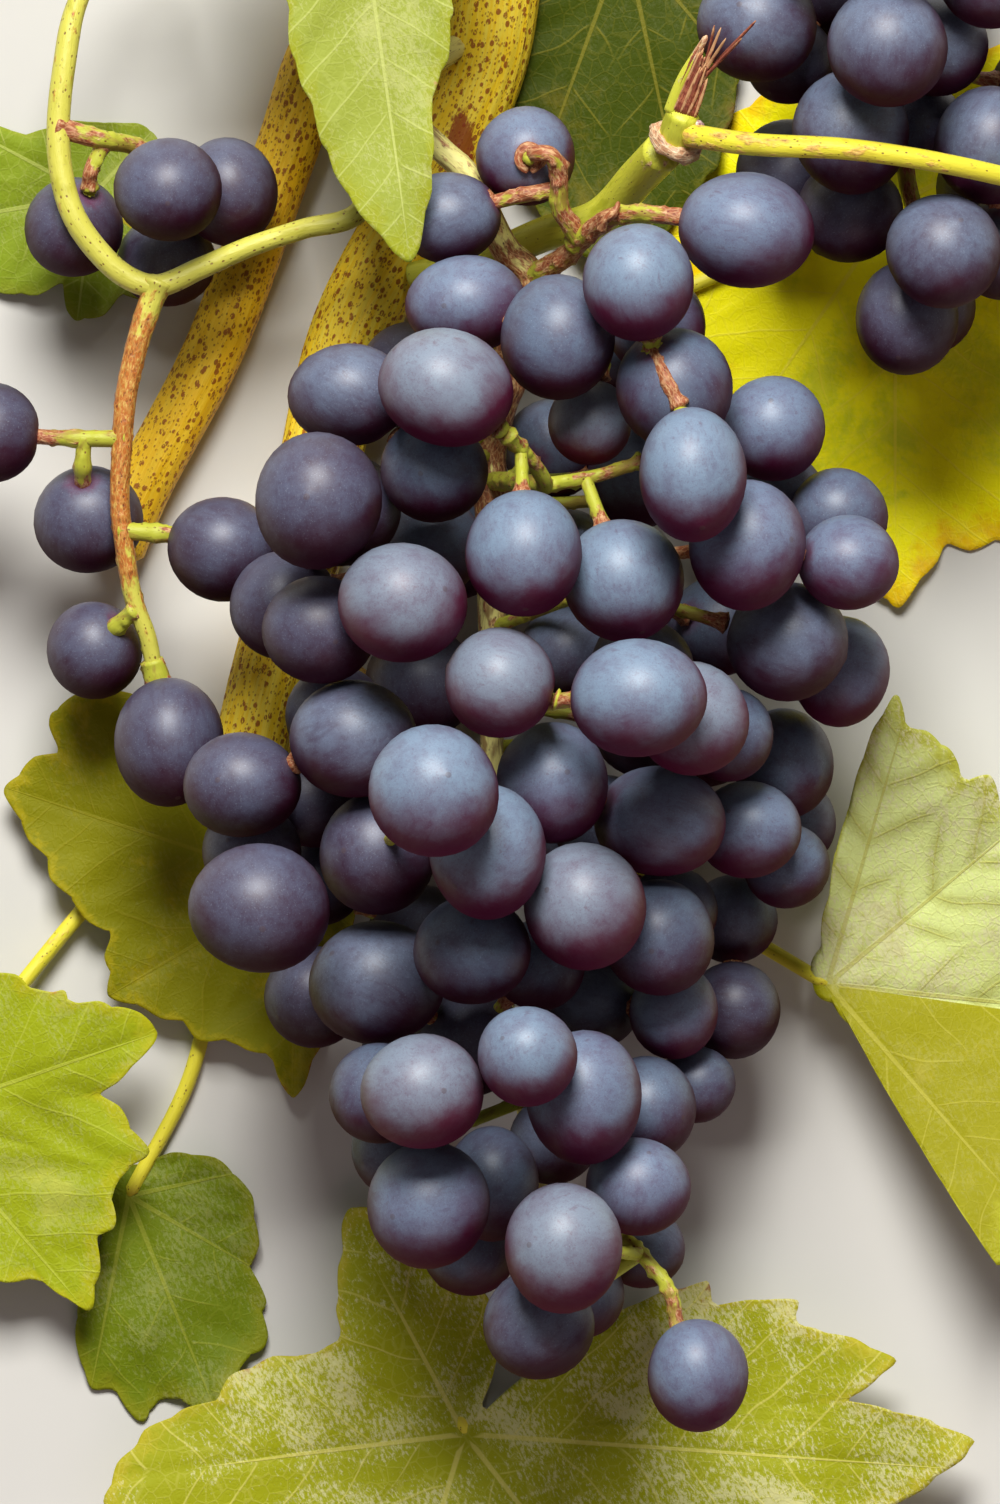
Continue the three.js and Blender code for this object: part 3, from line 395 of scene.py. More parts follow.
LEAVES = {
    "leaf_front": LeafShape(
        (-24.5, 150, 50),
        (
            (-150, 34), (-128, 22), (-114, 27), (-100, 42), (-82, 70), (-72, 42), (-66, 38), (-50, 22),
            (-30, 30), (0, 20), (40, 32), (70, 18), (100, 30), (140, 20), (175, 34), (195, 24),
        ),
        ((-1, 151, 13), (-13, 153, 34)), 20, pitch=9,
    ),
    "leaf_dark": LeafShape(
        (21, 137, 5),
        (
            (-150, 42), (-130, 32), (-112, 46), (-92, 56), (-78, 47), (-60, 35), (-45, 27), (-20, 24),
            (0, 34), (30, 28), (62, 44), (90, 30), (125, 38), (150, 22), (175, 20), (195, 30),
        ),
        ((9, 138, 6), (16, 138, 5.5)), 3.6, fold=0, wave=0.8,
    ),
    "leaf_yellow": LeafShape(
        (66.5, 92, 1.4),
        (
            (-115, 50), (-103, 54), (-90, 68), (-82, 58), (-70, 60), (-52, 50), (-25, 58), (0, 36),
            (28, 50), (60, 30), (95, 40), (130, 26), (160, 33), (188, 40), (200, 36), (214, 48), (225, 43),
            (236, 52),
        ),
        ((-20, 66, 2.2), (15, 72, 2), (45, 84, 2)), 0, fold=0,
    ),
    "leaf_folded": LeafShape(
        (55, -39, 12),
        (
            (-76, 3), (-62, 8), (-60.5, 30), (-59, 56), (-53, 50), (-40, 60), (-20, 48), (5, 70), (28, 50),
            (44, 42), (52, 44), (57, 41), (63, 45), (72, 45), (77, 50), (80, 43), (84, 27), (87, 22),
            (89, 15), (100, 6), (150, 2.5), (220, 2.5),
        ),
        ((-33, 20, 2.2), (-4, -2, 2.2), (25, -22, 2.4), (44, -32.5, 6)), 0, heading=-8, fold=0.35,
    ),
    "leaf_low": LeafShape(
        (-6, -114.7, 3),
        (
            (-107, 80), (-72, 50), (-40, 75), (-20, 55), (-1, 86.5), (5, 64.5), (9.5, 74), (18, 58.5),
            (21.5, 61), (27, 47.5), (32, 48), (38, 34), (41, 20), (48, 5), (60, 6), (67, 15), (79, 23),
            (98, 29), (116, 43.5), (125, 35.5), (140, 26.5), (151, 28), (164, 39.5), (172, 42.5),
            (179, 53.5), (190, 62), (216, 44),
        ),
        ((-38, 4, 4.2), (-29, -3, 2), (-15, -28, 1.8), (-11, -60, 1.5), (-9, -90, 1.3), (-7.5, -104, 1.3)),
        0.6,
    ),
    "leaf_lime": LeafShape(
        (-98, -61, 12),
        (
            (19, 43.5), (6.5, 31), (-10, 39.5), (-19, 34.5), (-29, 38), (-34, 36.5), (-49, 44), (-53, 35),
            (-75, 26), (-110, 45), (-145, 28), (180, 48), (150, 26), (115, 42), (80, 24), (57, 28),
            (42, 30), (39, 33), (35, 32.5), (27, 39.5),
        ),
        ((-47, 3, 2.4), (-60, -14, 2.2), (-78, -36, 4)), 4, pitch=-4,
    ),
    "leaf_deep": LeafShape(
        (-62.5, -74.7, 1.5),
        (
            (-122, 8), (-112, 24), (-101, 33), (-95, 32.5), (-86, 38.5), (-81, 33.5), (-68, 39), (-57, 34),
            (-49, 34.5), (-30, 24), (-11, 22), (12, 18.5), (31, 13.5), (60, 6), (120, 4),
        ),
        ((-43, 1.5, 2.4), (-45.5, -12, 1.6), (-47, -28, 1.6), (-52, -54, 1.6)), 0,
    ),
    "leaf_olive": LeafShape(
        (-34, -22, 5.4),
        (
            (136, 46), (145, 51), (151, 46), (157, 50), (162, 52), (173, 43.5), (184, 38.5), (196, 32.5),
            (211, 37), (219, 33.5), (230, 30.5), (237, 31), (251, 28.5), (262, 30), (268.5, 37), (275, 30),
            (284, 22), (320, 12), (0, 8), (60, 8), (100, 18), (120, 32),
        ),
        ((-41, -4, 6), (-38, -12, 5.6)), 3.6, fold=0.02, wave=0.8,
    ),
    "leaf_wing": LeafShape(
        (-68.5, 93.7, 2),
        (
            (-64, 19.5), (-75, 17.5), (-97, 22), (-110, 15.5), (-128, 21.5), (-150, 24), (190, 36),
            (168, 26), (152, 26), (138, 14.8), (123, 13.6), (94, 12.2), (66, 13), (47, 15), (15, 12),
            (-30, 13),
        ),
        ((-48, 80, 2), (-58, 86, 2)), 0,
    ),
    "leaf_edge": LeafShape(
        (114, 88, 38),
        (
            (-124, 24), (-108, 16), (-84, 36), (-62, 26), (-40, 42), (-20, 30), (0, 46), (22, 31), (44, 42),
            (68, 26), (90, 36), (112, 16), (130, 24), (180, 3),
        ),
        ((30.5, 103, 58.5), (42, 101.2, 65), (58, 100.3, 66.5), (74, 98, 64), (92, 94, 56), (106, 90, 45)),
        0, heading=0, pitch=-22, stalk_radii=(2, 1.7, 1.5),
    ),
}


class Curve:
    """A centripetal Catmull-Rom curve, walked by its length."""

    DIVISIONS = 200

    def __init__(self, points: Points) -> None:
        """Measures the curve that passes some points.

        Args:
            points: the points, from end to end.
        """
        middle = np.asarray(points, float)
        self.hull = np.vstack([2 * middle[0] - middle[1], middle, 2 * middle[-1] - middle[-2]])
        self.parameters = np.linspace(0, 1, self.DIVISIONS + 1)
        steps = np.diff(self._at_parameter(self.parameters), axis=0)
        self.walked = np.concatenate([[0], np.cumsum(np.linalg.norm(steps, axis=1))])

    def _at_parameter(self, parameter: Array) -> Array:
        """Points by cubic Hermite spans whose knots are spaced by the root of the points' distance.

        Args:
            parameter: values from 0 to 1, evenly shared by the spans.

        Returns:
            The points, shaped (count, 3).
        """
        spans = len(self.hull) - 3
        place = np.clip(parameter * spans, 0, spans)
        span = np.minimum(place.astype(int), spans - 1)
        share = (place - span)[:, None]
        before, start, end, after = (self.hull[span + step] for step in range(4))
        first, middle, last = (
            np.maximum(((two - one) ** 2).sum(1, keepdims=True), 1e-12) ** 0.25
            for one, two in ((before, start), (start, end), (end, after))
        )
        leave = (start - before) / first - (end - before) / (first + middle) + (end - start) / middle
        arrive = (end - start) / middle - (after - start) / (middle + last) + (after - end) / last
        leave, arrive = leave * middle, arrive * middle
        square = 3 * (end - start) - 2 * leave - arrive
        cube = 2 * (start - end) + leave + arrive
        return start + leave * share + square * share**2 + cube * share**3

    @property
    def length(self) -> float:
        """The length of the curve."""
        return float(self.walked[-1])

    def at(self, share: Array) -> Array:
        """Points at shares of the length, shaped (count, 3)."""
        return self._at_parameter(np.interp(np.clip(share, 0, 1) * self.length, self.walked, self.parameters))


def between(values: Sequence[float], share: Array) -> Array:
    """Values at shares of the way along a row of evenly spread ones."""
    return np.interp(share, np.linspace(0, 1, len(values)), values)


def unit(vectors: Array) -> Array:
    """Vectors of length 1 in the same directions."""
    return vectors / np.maximum(np.linalg.norm(vectors, axis=-1, keepdims=True), 1e-9)


def sideways(axes: Array) -> tuple[Array, Array]:
    """Two directions across each axis.

    Args:
        axes: unit vectors, shaped (count, 3).

    Returns:
        Two arrays of unit vectors, at right angles to each axis and to each other, and right-handed.
    """
    helper = np.where(np.abs(axes[:, 2:]) < 0.9, (0.0, 0.0, 1.0), (1.0, 0.0, 0.0))
    across = unit(np.cross(helper, axes))
    return across, np.cross(axes, across)


@dataclass
class Surface:
    """Closed skins, joined in one mesh.

    Attributes:
        corners: shaped (corners, 3).
        quads: corner numbers of the faces with four sides.
        tris: corner numbers of the faces with three.
        marks: a value or vector at each corner, by name.
        quad_slots: the material of each face with four sides.
        tri_slots: the material of each face with three.
    """

    corners: Array
    quads: Array
    tris: Array
    marks: dict[str, Array]
    quad_slots: Array
    tri_slots: Array

    def in_slot(self, number: int) -> "Surface":
        """The surface with a later material."""
        return replace(self, quad_slots=self.quad_slots + number, tri_slots=self.tri_slots + number)


def closed_skins(grid: Array, poles: Array, marks: Mapping[str, Array], slots: Array) -> Surface:
    """Skins over rows of corners that go round, closed by a pole at each end.

    A quad joins the corners (r, c), (r, c+1), (r+1, c+1) and (r+1, c), and a fan joins each pole to the row
    beside it, so faces point out where the columns turn anticlockwise about the way of the rows.

    Args:
        grid: corners, shaped (pieces, rows, columns, 3).
        poles: the two poles of each piece, shaped (pieces, 2, 3).
        marks: values at the corners, shaped (pieces, rows, columns) or with 3 more for a vector.
        slots: the material of each piece.

    Returns:
        All the pieces as one surface.
    """
    pieces, rows, columns = grid.shape[:3]
    count = rows * columns + 2
    base = (np.arange(pieces) * count)[:, None, None]
    here = np.arange(columns)
    beside = (here + 1) % columns
    ring = np.arange(rows - 1)[:, None] * columns
    corners = np.stack([ring + here, ring + beside, ring + columns + beside, ring + columns + here], -1)
    quads = (base + corners.reshape(1, -1, 4)).reshape(-1, 4)
    last = (rows - 1) * columns
    start = np.stack([np.full(columns, count - 2), beside, here], -1)
    end = np.stack([np.full(columns, count - 1), last + here, last + beside], -1)
    tris = (base + np.concatenate([start, end])[None]).reshape(-1, 3)
    all_marks = {}
    for name, values in marks.items():
        flat = values.reshape(pieces, rows * columns, -1)
        ends = np.stack([values[:, 0].mean(axis=1), values[:, -1].mean(axis=1)], 1)
        whole = np.concatenate([flat, ends.reshape(pieces, 2, -1)], 1)
        all_marks[name] = whole.reshape(-1, 3) if values.ndim == 4 else whole.reshape(-1)
    points = np.concatenate([grid.reshape(pieces, -1, 3), poles], 1).reshape(-1, 3)
    per_piece = (rows - 1) * columns
    return Surface(points, quads, tris, all_marks, np.repeat(slots, per_piece), np.repeat(slots, 2 * columns))


def joined(surfaces: Sequence[Surface]) -> Surface:
    """Several surfaces with the same marks as one.

    Args:
        surfaces: the surfaces.

    Returns:
        One surface with all their faces.
    """
    starts = np.cumsum([0] + [len(surface.corners) for surface in surfaces[:-1]])
    return Surface(
        np.concatenate([surface.corners for surface in surfaces]),
        np.concatenate([surface.quads + start for surface, start in zip(surfaces, starts)]),
        np.concatenate([surface.tris + start for surface, start in zip(surfaces, starts)]),
        {name: np.concatenate([surface.marks[name] for surface in surfaces]) for name in surfaces[0].marks},
        np.concatenate([surface.quad_slots for surface in surfaces]),
        np.concatenate([surface.tri_slots for surface in surfaces]),
    )


def carried_frames(points: Array) -> tuple[Array, Array]:
    """Frames carried along a line of points without twisting.

    Args:
        points: the line, shaped (rings, 3).

    Returns:
        Two directions across the line, each shaped (rings, 3).
    """
    tangents = unit(np.gradient(points, axis=0))
    across = np.empty_like(tangents)
    across[0] = sideways(tangents[:1])[0][0]
    for ring in range(1, len(points)):
        carried = across[ring - 1] - tangents[ring] * (across[ring - 1] @ tangents[ring])
        across[ring] = carried / np.linalg.norm(carried)
    return across, np.cross(tangents, across)


@dataclass(frozen=True)
class Relief:
    """The relief of a stem's skin, which adds to its radius.

    The radius grows by ridges along the stem, a sum of sines of the turn, and by warts, each a bell of the
    distance over the skin from its seeded place, and by knots, each a bell of the distance along the stem.

    Attributes:
        ridges: the height of the ridges.
        ridge_count: how many go round.
        warts: how many warts there are on each 10 mm of length.
        wart_height: how far the highest stand out.
        wart_size: their radius.
        knots: the places of the knots, as shares of the length.
        knot_height: how far they stand out.
        knot_size: their half length.
    """

    ridges: float = 0.04
    ridge_count: int = 7
    warts: float = 0.0
    wart_height: float = 0.25
    wart_size: float = 0.45
    knots: Sizes = ()
    knot_height: float = 0.5
    knot_size: float = 1.8

    def height(self, along: Array, turn: Array, radius: Array, seed: int) -> Array:
        """The relief over a stem's skin.

        Args:
            along: distance along the stem, shaped (rings, 1).
            turn: angle round it, shaped (1, sides).
            radius: radius of each ring, shaped (rings, 1).
            seed: of the places of the warts.

        Returns:
            What is added to the radius, shaped (rings, sides).
        """
        random = np.random.default_rng(seed)
        phase = random.uniform(0, FULL_TURN, 3)
        drift = 0.6 * np.sin(along / 9 + phase[0])
        wave = np.sin(self.ridge_count * turn + drift + phase[1])
        total = self.ridges * (wave + 0.5 * np.sin((2 * self.ridge_count + 1) * turn - drift + phase[2]))
        length = float(along[-1, 0])
        for share in self.knots:
            total = total + self.knot_height * np.exp(-(((along - share * length) / self.knot_size) ** 2))
        count = int(self.warts * length / 10)
        if count:
            places = random.uniform(0, length, count)
            turns = random.uniform(0, FULL_TURN, count)
            heights = self.wart_height * random.uniform(0.3, 1, count)
            apart = (turn[..., None] - turns + np.pi) % FULL_TURN - np.pi
            far = ((along[..., None] - places) ** 2 + (apart * radius[..., None]) ** 2) / self.wart_size**2
            total = total + (heights * np.exp(-far)).sum(-1)
        return total


def tube(
    limb: Limb, relief: Relief = Relief(), sides: int = 16, spacing: float = 0.8, seed: int = 1,
    flare: tuple[float, float] = (0.0, 1.5), blush: Sizes = (0.0, 0.0),
) -> Surface:
    """A stem: a circle carried along its curve, with its relief and its two ends rounded over.

    A corner is the middle plus the radius times the cosine of the turn across and the sine of the turn up.
    The radius runs through the limb's radii, and near the tip it grows by the flare, which falls off by e
    in its length and has a lumpy rim, a sine of nine turns. The first and last rings shrink as the quarter
    of a circle does.

    Args:
        limb: the stem's middle line and radii.
        relief: what its skin has.
        sides: corners round it.
        spacing: distance from ring to ring.
        seed: of the relief.
        flare: the growth at the tip, and the length over which it falls off.
        blush: how far the stem has reddened, evenly spread from foot to tip.

    Returns:
        The stem, with its marks bark (along, across and up), and blush.
    """
    curve = Curve(limb.points)
    share = np.linspace(0, 1, max(4, int(curve.length / spacing) + 1))
    middle = curve.at(share)
    across, up = carried_frames(middle)
    along = (share * curve.length)[:, None]
    turn = np.linspace(0, FULL_TURN, sides, endpoint=False)[None]
    to_tip = curve.length - along
    radius = between(limb.radii, share)[:, None] + flare[0] * np.exp(-to_tip / flare[1])
    lumpy = 0.3 * flare[0] * np.exp(-((to_tip / (0.7 * flare[1])) ** 2)) * np.sin(9 * turn + seed)
    from_end = np.minimum(along, to_tip) / (0.35 * radius)
    rounding = np.sqrt(np.clip(1 - (1 - np.clip(from_end, 0, 1)) ** 2, 0.12, 1))
    full = (radius + lumpy + relief.height(along, turn, radius, seed)) * rounding
    aside, above = full * np.cos(turn), full * np.sin(turn)
    grid = middle[:, None] + aside[..., None] * across[:, None] + above[..., None] * up[:, None]
    bark = np.stack([np.broadcast_to(along, aside.shape), aside, above], -1)
    reddened = np.broadcast_to(between(blush, share)[:, None], aside.shape)
    marks = {"bark": bark[None], "blush": reddened[None]}
    return closed_skins(grid[None], middle[None, [0, -1]], marks, np.zeros(1, int))


@dataclass
class Berries:
    """Berries, one to a row of each array.

    Attributes:
        names: the node of a single berry, or nothing.
        owners: the lateral that holds each.
        home: where each is drawn, shaped (count, 2).
        centre: where each lies, shaped (count, 3).
        half: half sizes across, along and up, shaped (count, 3).
        turn: how far each is turned about Z, in radians.
    """

    names: list[str]
    owners: list[str]
    home: Array
    centre: Array
    half: Array
    turn: Array

    @classmethod
    def drawn(cls, rows: Sequence[Sizes], names: Sequence[str] = (), owners: Sequence[str] = ()) -> "Berries":
        """Berries from rows of x, y, tier, width, length and turn: the height is so many tiers.

        Args:
            rows: the rows, of which the last number may be left out.
            names: the nodes of the berries, or nothing.
            owners: their laterals, or nothing.

        Returns:
            The berries at their drawn places.
        """
        full = np.array([tuple(row) + (0.0,) * (6 - len(row)) for row in rows])
        x, y, tier, width, length, turn = full.T
        half = np.stack([width / 2, length / 2, (width + length) / 4], 1)
        centre = np.stack([x, y, tier * TIER + BED], 1)
        blank, home = ("",) * len(rows), full[:, :2].copy()
        return cls(list(names or blank), list(owners or blank), home, centre, half, np.radians(turn))

    def reach(self, rows: Array, directions: Array) -> Array:
        """How far berries reach from their centres: one over the length of the direction in half sizes.

        Args:
            rows: which berries.
            directions: a unit vector for each.

        Returns:
            The distance from each centre to the skin.
        """
        cosine, sine = np.cos(self.turn[rows]), np.sin(self.turn[rows])
        across = directions[..., 0] * cosine + directions[..., 1] * sine
        along = directions[..., 1] * cosine - directions[..., 0] * sine
        halves = self.half[rows]
        sizes = (across / halves[..., 0]) ** 2 + (along / halves[..., 1]) ** 2
        return 1 / np.sqrt(sizes + (directions[..., 2] / halves[..., 2]) ** 2)

    def taken(self, rows: Sequence[int]) -> "Berries":
        """Some of the berries."""
        names, owners = [self.names[row] for row in rows], [self.owners[row] for row in rows]
        return Berries(names, owners, self.home[rows], self.centre[rows], self.half[rows], self.turn[rows])

    def with_more(self, others: "Berries") -> "Berries":
        """These berries, followed by others."""
        pairs = ((getattr(self, name), getattr(others, name)) for name in ("home", "centre", "half", "turn"))
        return Berries(self.names + others.names, self.owners + others.owners, *map(np.concatenate, pairs))


@dataclass(frozen=True)
class Spine:
    """Points along a stem, its largest radius and its owner."""

    points: Array
    radius: float
    owner: str

    @classmethod
    def along(cls, limb: Limb, spacing: float = 4.0) -> "Spine":
        """The spine of a limb, with points at most a spacing apart.

        Args:
            limb: the limb.
            spacing: the largest distance from point to point.

        Returns:
            The spine.
        """
        curve = Curve(limb.points)
        steps = int(np.ceil(curve.length / spacing))
        return cls(curve.at(np.linspace(0, 1, steps + 1)), max(limb.radii), limb.owner)


@dataclass(frozen=True)
class Thicket:
    """The points of several stems, and the radius at each."""

    points: Array
    radii: Array

    @classmethod
    def of(cls, spines: Sequence[Spine]) -> "Thicket":
        """The points of some spines."""
        radii = [np.full(len(spine.points), spine.radius) for spine in spines]
        return cls(np.concatenate([spine.points for spine in spines]), np.concatenate(radii))


@dataclass
class SeededNumbers:
    """Numbers from 0 to 1, by a multiplicative congruence that keeps to whole numbers."""

    state: int
    FACTOR = 48271
    MODULUS = 2147483647

    def draw(self) -> float:
        """The next number."""
        self.state = (self.state * self.FACTOR) % self.MODULUS
        return self.state / self.MODULUS

    def among(self, low: float, high: float) -> float:
        """The next number, spread from low to high."""
        return low + (high - low) * self.draw()


def settle(berries: Berries, spines: Sequence[Spine]) -> None:
    """Moves berries until none presses on another or on a stem that isn't its own.

    In each round every berry takes 0.3 of each shortage of room, along the line away from what it presses
    on, then 0.02 of the way back to its drawn place, and stays over the bed.

    Args:
        berries: the berries, whose centres are changed.
        spines: the stems.
    """
    rounds, yielding, homing, nearest = 900, 0.3, 0.02, 30.0
    count = len(berries.home)
    apart = np.linalg.norm(berries.home[:, None] - berries.home[None], axis=2)
    one, other = np.nonzero(np.triu(apart < nearest, 1))
    touched, stops, radii = [], [], []
    owners = np.array(berries.owners)
    for spine in spines:
        near = np.linalg.norm(spine.points[None] - berries.centre[:, None], axis=2) < nearest
        near[(owners == spine.owner) & (owners != "")] = False
        rows, places = np.nonzero(near)
        touched.append(rows)
        stops.append(spine.points[places])
        radii.append(np.full(len(rows), spine.radius))
    touching, stop, radius = np.concatenate(touched), np.concatenate(stops), np.concatenate(radii)
    rows = np.concatenate([touching, one, other])
    lowest = BED + berries.half[:, 2]
    for _ in range(rounds):
        away = berries.centre[touching] - stop
        distance = np.linalg.norm(away, axis=1)
        away /= distance[:, None]
        short = np.maximum(radius + berries.reach(touching, away) + BERRY_GAP - distance, 0) * yielding
        pair = berries.centre[one] - berries.centre[other]
        far = np.linalg.norm(pair, axis=1)
        pair /= far[:, None]
        room = berries.reach(one, pair) + berries.reach(other, pair) + BERRY_GAP - far
        push = pair * (np.maximum(room, 0) * yielding)[:, None]
        pushes = np.concatenate([away * short[:, None], push, -push])
        for axis in range(3):
            berries.centre[:, axis] += np.bincount(rows, pushes[:, axis], count)
        berries.centre[:, :2] += (berries.home - berries.centre[:, :2]) * homing
        berries.centre[:, 2] = np.maximum(berries.centre[:, 2], lowest)


def shelter(x: float, y: float, half: float, shade: Berries, margin: float) -> float:
    """The height up to which the berries above a ball cover it on all sides, or 0 if it would show.

    Args:
        x: place of the ball.
        y: place of the ball.
        half: its radius.
        shade: the berries that may cover it.
        margin: how far its rim may stand out.

    Returns:
        The least, round its rim, of the heights of the highest berries over it.
    """
    bearing = np.arange(8) * np.pi / 4
    rim = np.stack([x + np.cos(bearing) * (half - margin), y + np.sin(bearing) * (half - margin)], 1)
    offset = np.linalg.norm(rim[:, None] - shade.centre[None, :, :2], axis=2)
    over = np.where(offset < shade.half[:, 0] + margin / 2, shade.centre[:, 2], 0)
    return float(over.max(axis=1).min())


def is_free(centre: Array, half: float, berries: Berries, stems: Thicket) -> bool:
    """Whether a ball touches neither a berry nor a stem.

    Args:
        centre: of the ball.
        half: its radius.
        berries: the berries near it.
        stems: the stems near it.

    Returns:
        Whether all the gaps are at least as wide as berries keep.
    """
    away = centre - berries.centre
    distance = np.linalg.norm(away, axis=1)
    reach = berries.reach(np.arange(len(distance)), away / distance[:, None])
    if (half + reach + BERRY_GAP - distance > 0).any():
        return False
    return bool((np.linalg.norm(stems.points - centre, axis=1) > stems.radii + half + BERRY_GAP).all())


def fill_under(bunch: Berries, others: Berries, stems: Thicket, seed: int, count: int, tries: int) -> Berries:
    """Balls of berry size, dropped in the shade of a bunch, come to rest at the lowest free height.

    Args:
        bunch: the berries that give the shade.
        others: berries that are in the way as well.
        stems: the stems in the way.
        seed: of the sizes and places.
        count: how many balls there are at most.
        tries: how often one is dropped.

    Returns:
        The balls, as berries.
    """
    random = SeededNumbers(seed)
    smallest, largest, climb, margin = 16.5, 19.0, 1.5, 1.5
    (left, bottom), (right, top) = bunch.home.min(axis=0), bunch.home.max(axis=0)
    solid = bunch.with_more(others)
    rows: list[Sizes] = []
    heights: list[float] = []
    for _ in range(tries):
        if len(rows) == count:
            break
        size, x, y = random.among(smallest, largest), random.among(left, right), random.among(bottom, top)
        centre = np.array([x, y, BED + size / 2])
        ceiling = shelter(x, y, size / 2, bunch, margin)
        while centre[2] < ceiling and not is_free(centre, size / 2, solid, stems):
            centre[2] += climb
        if centre[2] < ceiling:
            rows.append((x, y, 0.0, size, size))
            heights.append(centre[2])
            ball = Berries.drawn(rows[-1:])
            ball.centre[0] = centre
            solid = solid.with_more(ball)
    filling = Berries.drawn(rows)
    filling.centre[:, 2] = heights
    return filling


@dataclass(frozen=True)
class Stalk:
    """The short stalk of one berry: its points, from its root to the berry's centre, and the berry's row."""

    points: Array
    berry: int


@dataclass
class Growth:
    """How the stalks of a bunch grow: each lateral like a tree, to its own berries and then to its singles.

    Attributes:
        laterals: the bunch's laterals.
        rachis: its main stem.
        beside: the other stems that its stalks keep clear of.
        rows: the rows of each lateral's berries.
        singles: the rows of the berries that are nodes of their own.
        stalks: what has grown on each lateral.
        berries: the berries of the whole branch.
    """

    laterals: Mapping[str, Lateral]
    rachis: Limb
    beside: tuple[Limb, ...]
    rows: dict[str, list[int]]
    singles: list[int]
    stalks: dict[str, list[Stalk]] = field(default_factory=dict)
    berries: Berries = field(init=False)

    def all_rows(self) -> list[int]:
        """The rows of all its berries."""
        return [row for rows in self.rows.values() for row in rows] + self.singles

    def is_blocked(self, start: Array, end: Array, passed: Array, stems: Thicket) -> bool:
        """Whether a straight stalk would come too close to a berry that it doesn't hold, or to another stem.

        Args:
            start: one end of the stalk.
            end: its other end.
            passed: rows of the berries that it passes.
            stems: the stems that it passes.

        Returns:
            Whether the nearest point of the stalk to any of them is too near.
        """
        centres = np.concatenate([self.berries.centre[passed], stems.points])
        halves = self.berries.half[passed].max(axis=1)
        limits = np.concatenate([halves, stems.radii]) + STALK_RADIUS + CLEARANCE
        line = end - start
        share = np.clip((centres - start) @ line / (line @ line), 0, 1)
        return bool((np.linalg.norm(start + share[:, None] * line - centres, axis=1) < limits).any())

    def next_stalk(
        self, reached: list[tuple[Array, float]], waiting: list[int], berries: Array, near: Thicket,
        far: Thicket,
    ) -> Optional[Stalk]:
        """The shortest way, straight or else with one bend, from what is reached to a waiting berry.

        Args:
            reached: points of the tree, with the weight of a way from each.
            waiting: rows of the berries that have no stalk yet.
            berries: rows of the berries in the way.
            near: the stems in the way up to the bend.
            far: the stems in the way after it.

        Returns:
            The stalk, or nothing where no way is free.
        """
        centre = self.berries.centre
        pairs = ((point, row, pull) for row in waiting for point, pull in reached)
        ways = [(point, row, np.linalg.norm(point - centre[row]) * pull) for point, row, pull in pairs]
        ways.sort(key=lambda way: way[2])
        for point, row, _ in ways:
            if not self.is_blocked(point, centre[row], berries[berries != row], near):
                return Stalk(np.stack([point, centre[row]]), row)
        random = SeededNumbers(3)
        tries, detour = 40, 1.2
        for point, row, _ in ways:
            passed = berries[berries != row]
            swing = np.linalg.norm(point - centre[row]) * detour
            for _ in range(tries):
                sway = np.array([random.draw() - 0.5 for _ in range(3)])
                bend = (point + centre[row]) / 2 + sway * swing
                if bend[2] < BED or self.is_blocked(point, bend, passed, near):
                    continue
                if not self.is_blocked(bend, centre[row], passed, far):
                    return Stalk(np.stack([point, bend, centre[row]]), row)
        return None

    def grow(self, berries: Berries) -> None:
        """Grows the stalks of every lateral in turn to its berries.

        Args:
            berries: of the whole branch.
        """
        self.berries = berries
        axis = Spine.along(self.rachis)
        arms = (limb for lateral in self.laterals.values() for limb in lateral.limbs)
        spines = [Spine.along(limb, 1) for limb in (*self.beside, *arms)]
        for name in self.laterals:
            elsewhere = [spine for spine in spines if spine.owner != name]
            grown = self._grow_lateral(name, Thicket.of(elsewhere), Thicket.of([*elsewhere, axis]))
            self.stalks[name] = grown
            for stalk in grown:
                for ends in zip(stalk.points, stalk.points[1:]):
                    spines.append(Spine.along(Limb(ends, (STALK_RADIUS,), name), 1))

    def _grow_lateral(self, name: str, stems: Thicket, all_stems: Thicket) -> list[Stalk]:
        """Grows the stalks of one lateral.

        Args:
            name: the lateral's name.
            stems: the stems in the way of a stalk that starts on the main stem.
            all_stems: those and the main stem.

        Returns:
            The stalks, in the order of growth.
        """
        steps, pull_of_berry, reach_along, places = 10, 1.5, 0.08, 17
        lateral = self.laterals[name]
        others = [row for other, rows in self.rows.items() if other != name for row in rows]
        obstacles = np.array(others + self.singles, int)
        shares = np.linspace(0, 1, steps + 1)[2:]
        reached = [(point, 1.0) for limb in lateral.limbs for point in Curve(limb.points).at(shares)]
        is_rooted = bool(reached)
        if not is_rooted:
            around = lateral.at + reach_along * np.linspace(-1, 1, places)
            reached = [(point, 1.0) for point in Curve(self.rachis.points).at(around)]
        held = [row for row in self.singles if self.berries.owners[row] == name]
        waiting = list(self.rows[name])
        grown: list[Stalk] = []
        while waiting or held:
            targets = waiting or [held.pop(0)]
            stalk = self.next_stalk(reached, targets, obstacles, all_stems if is_rooted else stems, all_stems)
            if stalk is None:
                self.rows[name] = [row for row in self.rows[name] if row not in waiting]
                waiting = []
                continue
            if not is_rooted:
                reached = []
            is_rooted = True
            grown.append(stalk)
            reached += [(point, 1.0) for point in stalk.points[:-1]]
            reached.append((stalk.points[-1], pull_of_berry))
            waiting = [row for row in waiting if row != stalk.berry]
        return grown


@dataclass(frozen=True)
class BunchPlan:
    """What a bunch grows from: its laterals, its single berries, its main stem and the stems beside it."""

    laterals: Mapping[str, Lateral]
    singles: Mapping[str, Sizes]
    rachis: Limb
    beside: tuple[Limb, ...]


